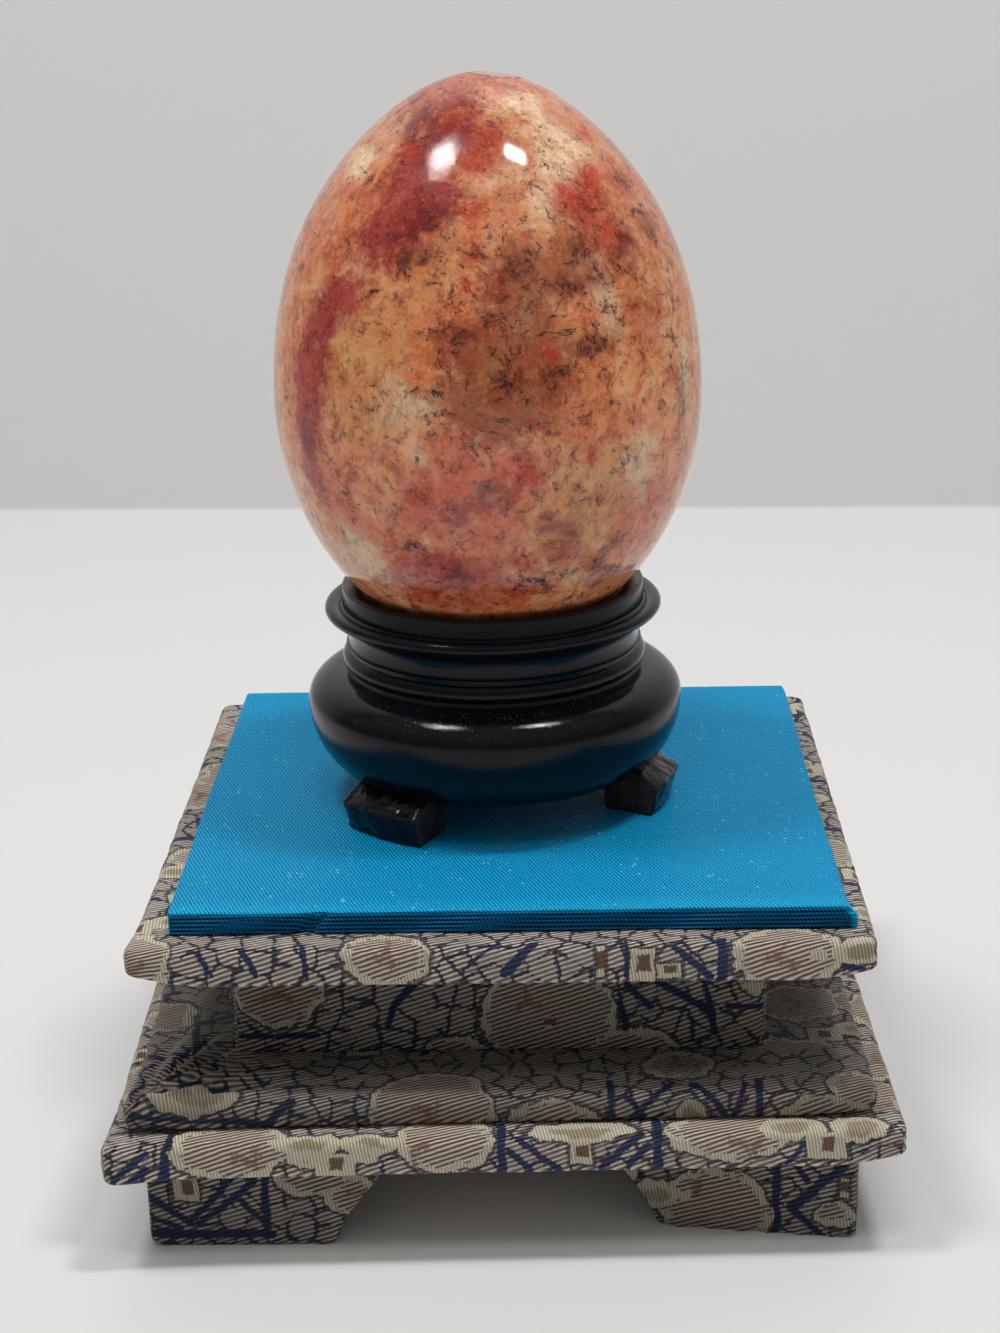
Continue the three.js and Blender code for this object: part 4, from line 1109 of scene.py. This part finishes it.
NECK_WIDTH, NECK_CORNER = 70.4, 1.6
neck_low, neck_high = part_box("riser_block")
neck_x = (neck_low[0] + neck_high[0]) / 2
neck_half = NECK_WIDTH / 2 * MM
neck = card(neck_x, neck_low[2], NECK_WIDTH, (neck_high[2] - neck_low[2]) / MM, 0.3, 64, 2, 14)
mould(neck, lambda places: round_corners(places, neck_x, neck_half, NECK_CORNER * MM))
unfold_round(neck, neck_x, neck_half, neck_high[2])
neck.name = "neck_cloth"
swell(neck, 6, 0.3)
activate(neck)
bpy.ops.object.shade_smooth()
NECK_FIGURES = {
    "shift": 41, "far": 1, "shade": 0.62, "inner shade": 0.62,
    "petals": [(-28.9, -5.4, 6.2, 6.5), (6.4, -10.4, 8.8, 8), (17.6, -17.4, 7, 5), (33.9, -4.8, 2.6, 2.9), (-6, -17.4, 5, 3.8)],
    "leaves": [],
    "blocks": [(6.6, -11.8, 0.5, 0.9)],
    "bars": [(-11, -5.8, -13.4, -8.6, 0.55), (-13.4, -8.6, -14.6, -11.6, 0.5), (-34, -13.2, -24, -13.2, 0.45), (16, -9, 17, -12.4, 0.5),
             (17, -6.4, 20, -9.6, 0.45), (21, -5.8, 28, -10.6, 0.55), (27, -6, 28.6, -13.2, 0.45), (30, -9.6, 35, -9.6, 0.4)],
    "sprays": [(-29, -6.6), (4, -8.6)],
}
neck_material = brocade("neck brocade", NECK_FIGURES)
hand_over(neck, "neck_cloth", neck_material, "brocade", "riser_block")

# %% [markdown]
# A foot is an L of thick card, each wing cut on a slant at its inner end, and covered with cloth.
# Its outline is drawn edge by edge, filled and extruded, and the two wings are joined.
# A voxel remesh then gives even small faces, so that the cloth's soft edges and swelling show.

# %% The four feet
FOOT_TOP, FOOT_SHOULDER, FOOT_SHOULDER_HEIGHT, FOOT_SOLE, FOOT_ROUND = 32.4, 26.4, 4.4, 24.8, 1.5
CARD_THICKNESS = 3
FOOT_VOXEL = 0.55


def wing(extra, height):
    """One wing of a foot along +X from its outer corner, in metres, its outer face at y = 0."""
    inner = FOOT_SOLE + extra - FOOT_ROUND
    outline = [(0, height)] + arc(FOOT_ROUND, FOOT_ROUND, FOOT_ROUND, FOOT_ROUND, 180, 270, 4)
    outline += arc(inner, FOOT_ROUND, FOOT_ROUND, FOOT_ROUND, -90, 0, 4)
    outline += [(FOOT_SHOULDER + extra, FOOT_SHOULDER_HEIGHT), (FOOT_TOP + extra, height)]
    piece = draw([(x * MM, 0, z * MM) for x, z in outline])
    bpy.ops.mesh.select_all(action="SELECT")
    bpy.ops.mesh.edge_face_add()
    bpy.ops.mesh.extrude_region_move(TRANSFORM_OT_translate={"value": (0, CARD_THICKNESS * MM, 0)})
    bpy.ops.mesh.select_all(action="SELECT")
    bpy.ops.mesh.normals_make_consistent(inside=False)
    rest()
    return piece


def unfold_foot(piece, corner):
    """A UV map in millimetres: u is x on the front wing and runs on round the corner, v hangs."""
    layer = piece.data.uv_layers.new(name="cloth")
    vertices = piece.data.vertices
    side = math.copysign(1, corner[0])
    for face in piece.data.polygons:
        sideways = abs(face.normal.x) > abs(face.normal.y)
        for index in face.loop_indices:
            place = vertices[piece.data.loops[index].vertex_index].co
            u = corner[0] + side * abs(place.y - corner[1]) if sideways else place.x
            layer.data[index].uv = (u / MM, place.z / MM - foot_height)


FEET = {
    "foot_front_left": (-46.1, -46.2, -1, 0),
    "foot_front_right": (46.3, -46.2, 82, 1.6),
    "foot_back_right": (46.3, 46.2, 180, 0),
    "foot_back_left": (-46.1, 46.2, 270, 0),
}
FEET_FIGURES = {
    "shift": 57, "far": 1, "shade": 0.6, "inner shade": 0.6,
    "petals": [(-24.6, -1.4, 5, 3.8), (-19.4, -5, 3.6, 3), (28, -9.6, 7.2, 6), (43.4, -9.2, 2.6, 1.9)],
    "leaves": [(20.4, -7.9, 3, 2.2), (16.4, -4, 1.8, 2.2), (24.2, -8.2, 0.9, 0.9)],
    "blocks": [(-40.9, -4, 1.6, 1.9), (44.6, -5.2, 0.5, 1.4)],
    "bars": [(-46, -5, -40.5, -9.4, 0.5), (-40.6, -9.2, -35, -2.8, 0.5), (-39.4, -9.4, -31.8, -3, 0.45), (-34, -5.6, -30.6, -9, 0.45),
             (-30.5, -2, -30.5, -9.6, 0.55), (-46, -10.8, -30, -10.8, 0.65), (-46, -8, -42, -10, 0.45), (36, -2, 36, -12.6, 0.55),
             (44.6, -2, 38, -8.5, 0.6), (38.4, -2.4, 40, -4.6, 0.45), (38, -8.6, 42, -12.6, 0.5), (15, -2, 18.4, -5.4, 0.4)],
    "sprays": [(25, -5.6), (-17.6, -4.6)],
}
feet_material = brocade("feet brocade", FEET_FIGURES)
foot_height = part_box("foot_front_left")[1][2] / MM
for node, (x, y, turn, extra) in FEET.items():
    foot = wing(extra, foot_height)
    second = wing(extra, foot_height)
    second.location = (0, 0, 0)
    activate(second)
    bpy.ops.object.mode_set(mode="EDIT")
    bpy.ops.mesh.select_all(action="SELECT")
    bpy.ops.transform.translate(value=(0, -CARD_THICKNESS * MM, 0))
    rest()
    second.data.transform(Matrix.Rotation(math.radians(90), 4, "Z"))
    use_modifier(foot, "BOOLEAN", operation="UNION", object=second, solver="EXACT")
    bpy.data.objects.remove(second)
    foot.data.transform(Matrix.Translation((x * MM, y * MM, 0)) @ Matrix.Rotation(math.radians(turn), 4, "Z"))
    use_modifier(foot, "REMESH", mode="VOXEL", voxel_size=FOOT_VOXEL * MM)
    use_modifier(foot, "SMOOTH", factor=0.5, iterations=2)
    unfold_foot(foot, (x * MM, y * MM))
    foot.name = node + "_cloth"
    swell(foot, 4, 0.25)
    activate(foot)
    bpy.ops.object.shade_smooth()
    hand_over(foot, node + "_cloth", feet_material, "brocade", node)

# %% [markdown]
# The photograph was taken on a white table in front of a pale wall, under soft light from above.
# A plane with its back edge pulled up makes both, and a bevel makes the corner between them soft.
# Seen from behind the wall is clear, so that the object can also be looked at from its back.

# %% The table and the wall
TABLE_BACK, TABLE_HALF, WALL_HEIGHT = 0.3312, 1.6, 1.6
WALL_TURN = -3.04
rest()
bpy.ops.mesh.primitive_plane_add(size=2 * TABLE_HALF, location=(0, TABLE_BACK - TABLE_HALF, 0))
table = bpy.context.object
bpy.ops.object.transform_apply(location=True, rotation=False, scale=False)
bpy.ops.object.mode_set(mode="EDIT")
pick(table, lambda vertex: vertex.co.y > 0)
bpy.ops.mesh.extrude_region_move(TRANSFORM_OT_translate={"value": (0, 0, WALL_HEIGHT)})
pick(table, lambda vertex: abs(vertex.co.y - TABLE_BACK) < MM and vertex.co.z < MM)
bpy.ops.mesh.bevel(offset=0.002, segments=3)
rest()
activate(table)
table.rotation_euler = (0, 0, math.radians(WALL_TURN))
bpy.ops.object.transform_apply(location=False, rotation=True, scale=False)
bpy.ops.object.shade_smooth()
table.name = "pale_table"
paper = new_material("pale table")
tree = paper.node_tree
behind = add_node(tree, "ShaderNodeNewGeometry").outputs["Backfacing"]
surface(tree, (0.8, 0.795, 0.785, 1), 0.45, Alpha=maths(tree, "SUBTRACT", 1.0, behind))
table.data.materials.append(paper)

# %% [markdown]
# Two soft lamps hang overhead, left and right and a little in front of the egg. They leave the
# two bright spots on the egg and on the stand, and their two shadows overlap under the plinth.
# A wide fill from the front is not seen in the reflections, and the pale room, brighter above
# than at the sides, fills the rest. The plain view transform keeps the cloth's strong colours.


# %% The lights
def lamp(name, place, target, size, power, mirrored=True):
    """An area light overhead, its sides along x and y, tilted to look at a target."""
    rest()
    drop = place[2] - target[2]
    tilt = (math.atan2(target[1] - place[1], drop), -math.atan2(target[0] - place[0], drop), 0)
    bpy.ops.object.light_add(type="AREA", location=place, rotation=tilt)
    light = bpy.context.object
    light.name = name
    light.data.shape = "RECTANGLE"
    light.data.size, light.data.size_y = size
    light.data.energy = power
    light.visible_glossy = mirrored


OBJECT_MIDDLE = (0, 0, 0.07)
lamp("left lamp", (-0.31, -0.08, 1.0), OBJECT_MIDDLE, (0.17, 0.18), 2.85)
lamp("right lamp", (0.26, -0.08, 1.0), OBJECT_MIDDLE, (0.15, 0.08), 2.85)
lamp("front fill", (0, -0.38, 1.0), OBJECT_MIDDLE, (0.3, 0.2), 1.4, mirrored=False)

world = bpy.data.worlds.new("pale room")
bpy.context.scene.world = world
world.use_nodes = True
sky = world.node_tree
direction = add_node(sky, "ShaderNodeTexCoord").outputs["Generated"]
upwards = add_node(sky, "ShaderNodeSeparateXYZ", {0: direction}).outputs[2]
background = sky.nodes["Background"]
background.inputs["Color"].default_value = (1.0, 0.99, 0.97, 1)
sky.links.new(step(sky, upwards, -0.1, 1.0, 0.12, 0.36), background.inputs["Strength"])
bpy.context.scene.view_settings.view_transform = "Standard"
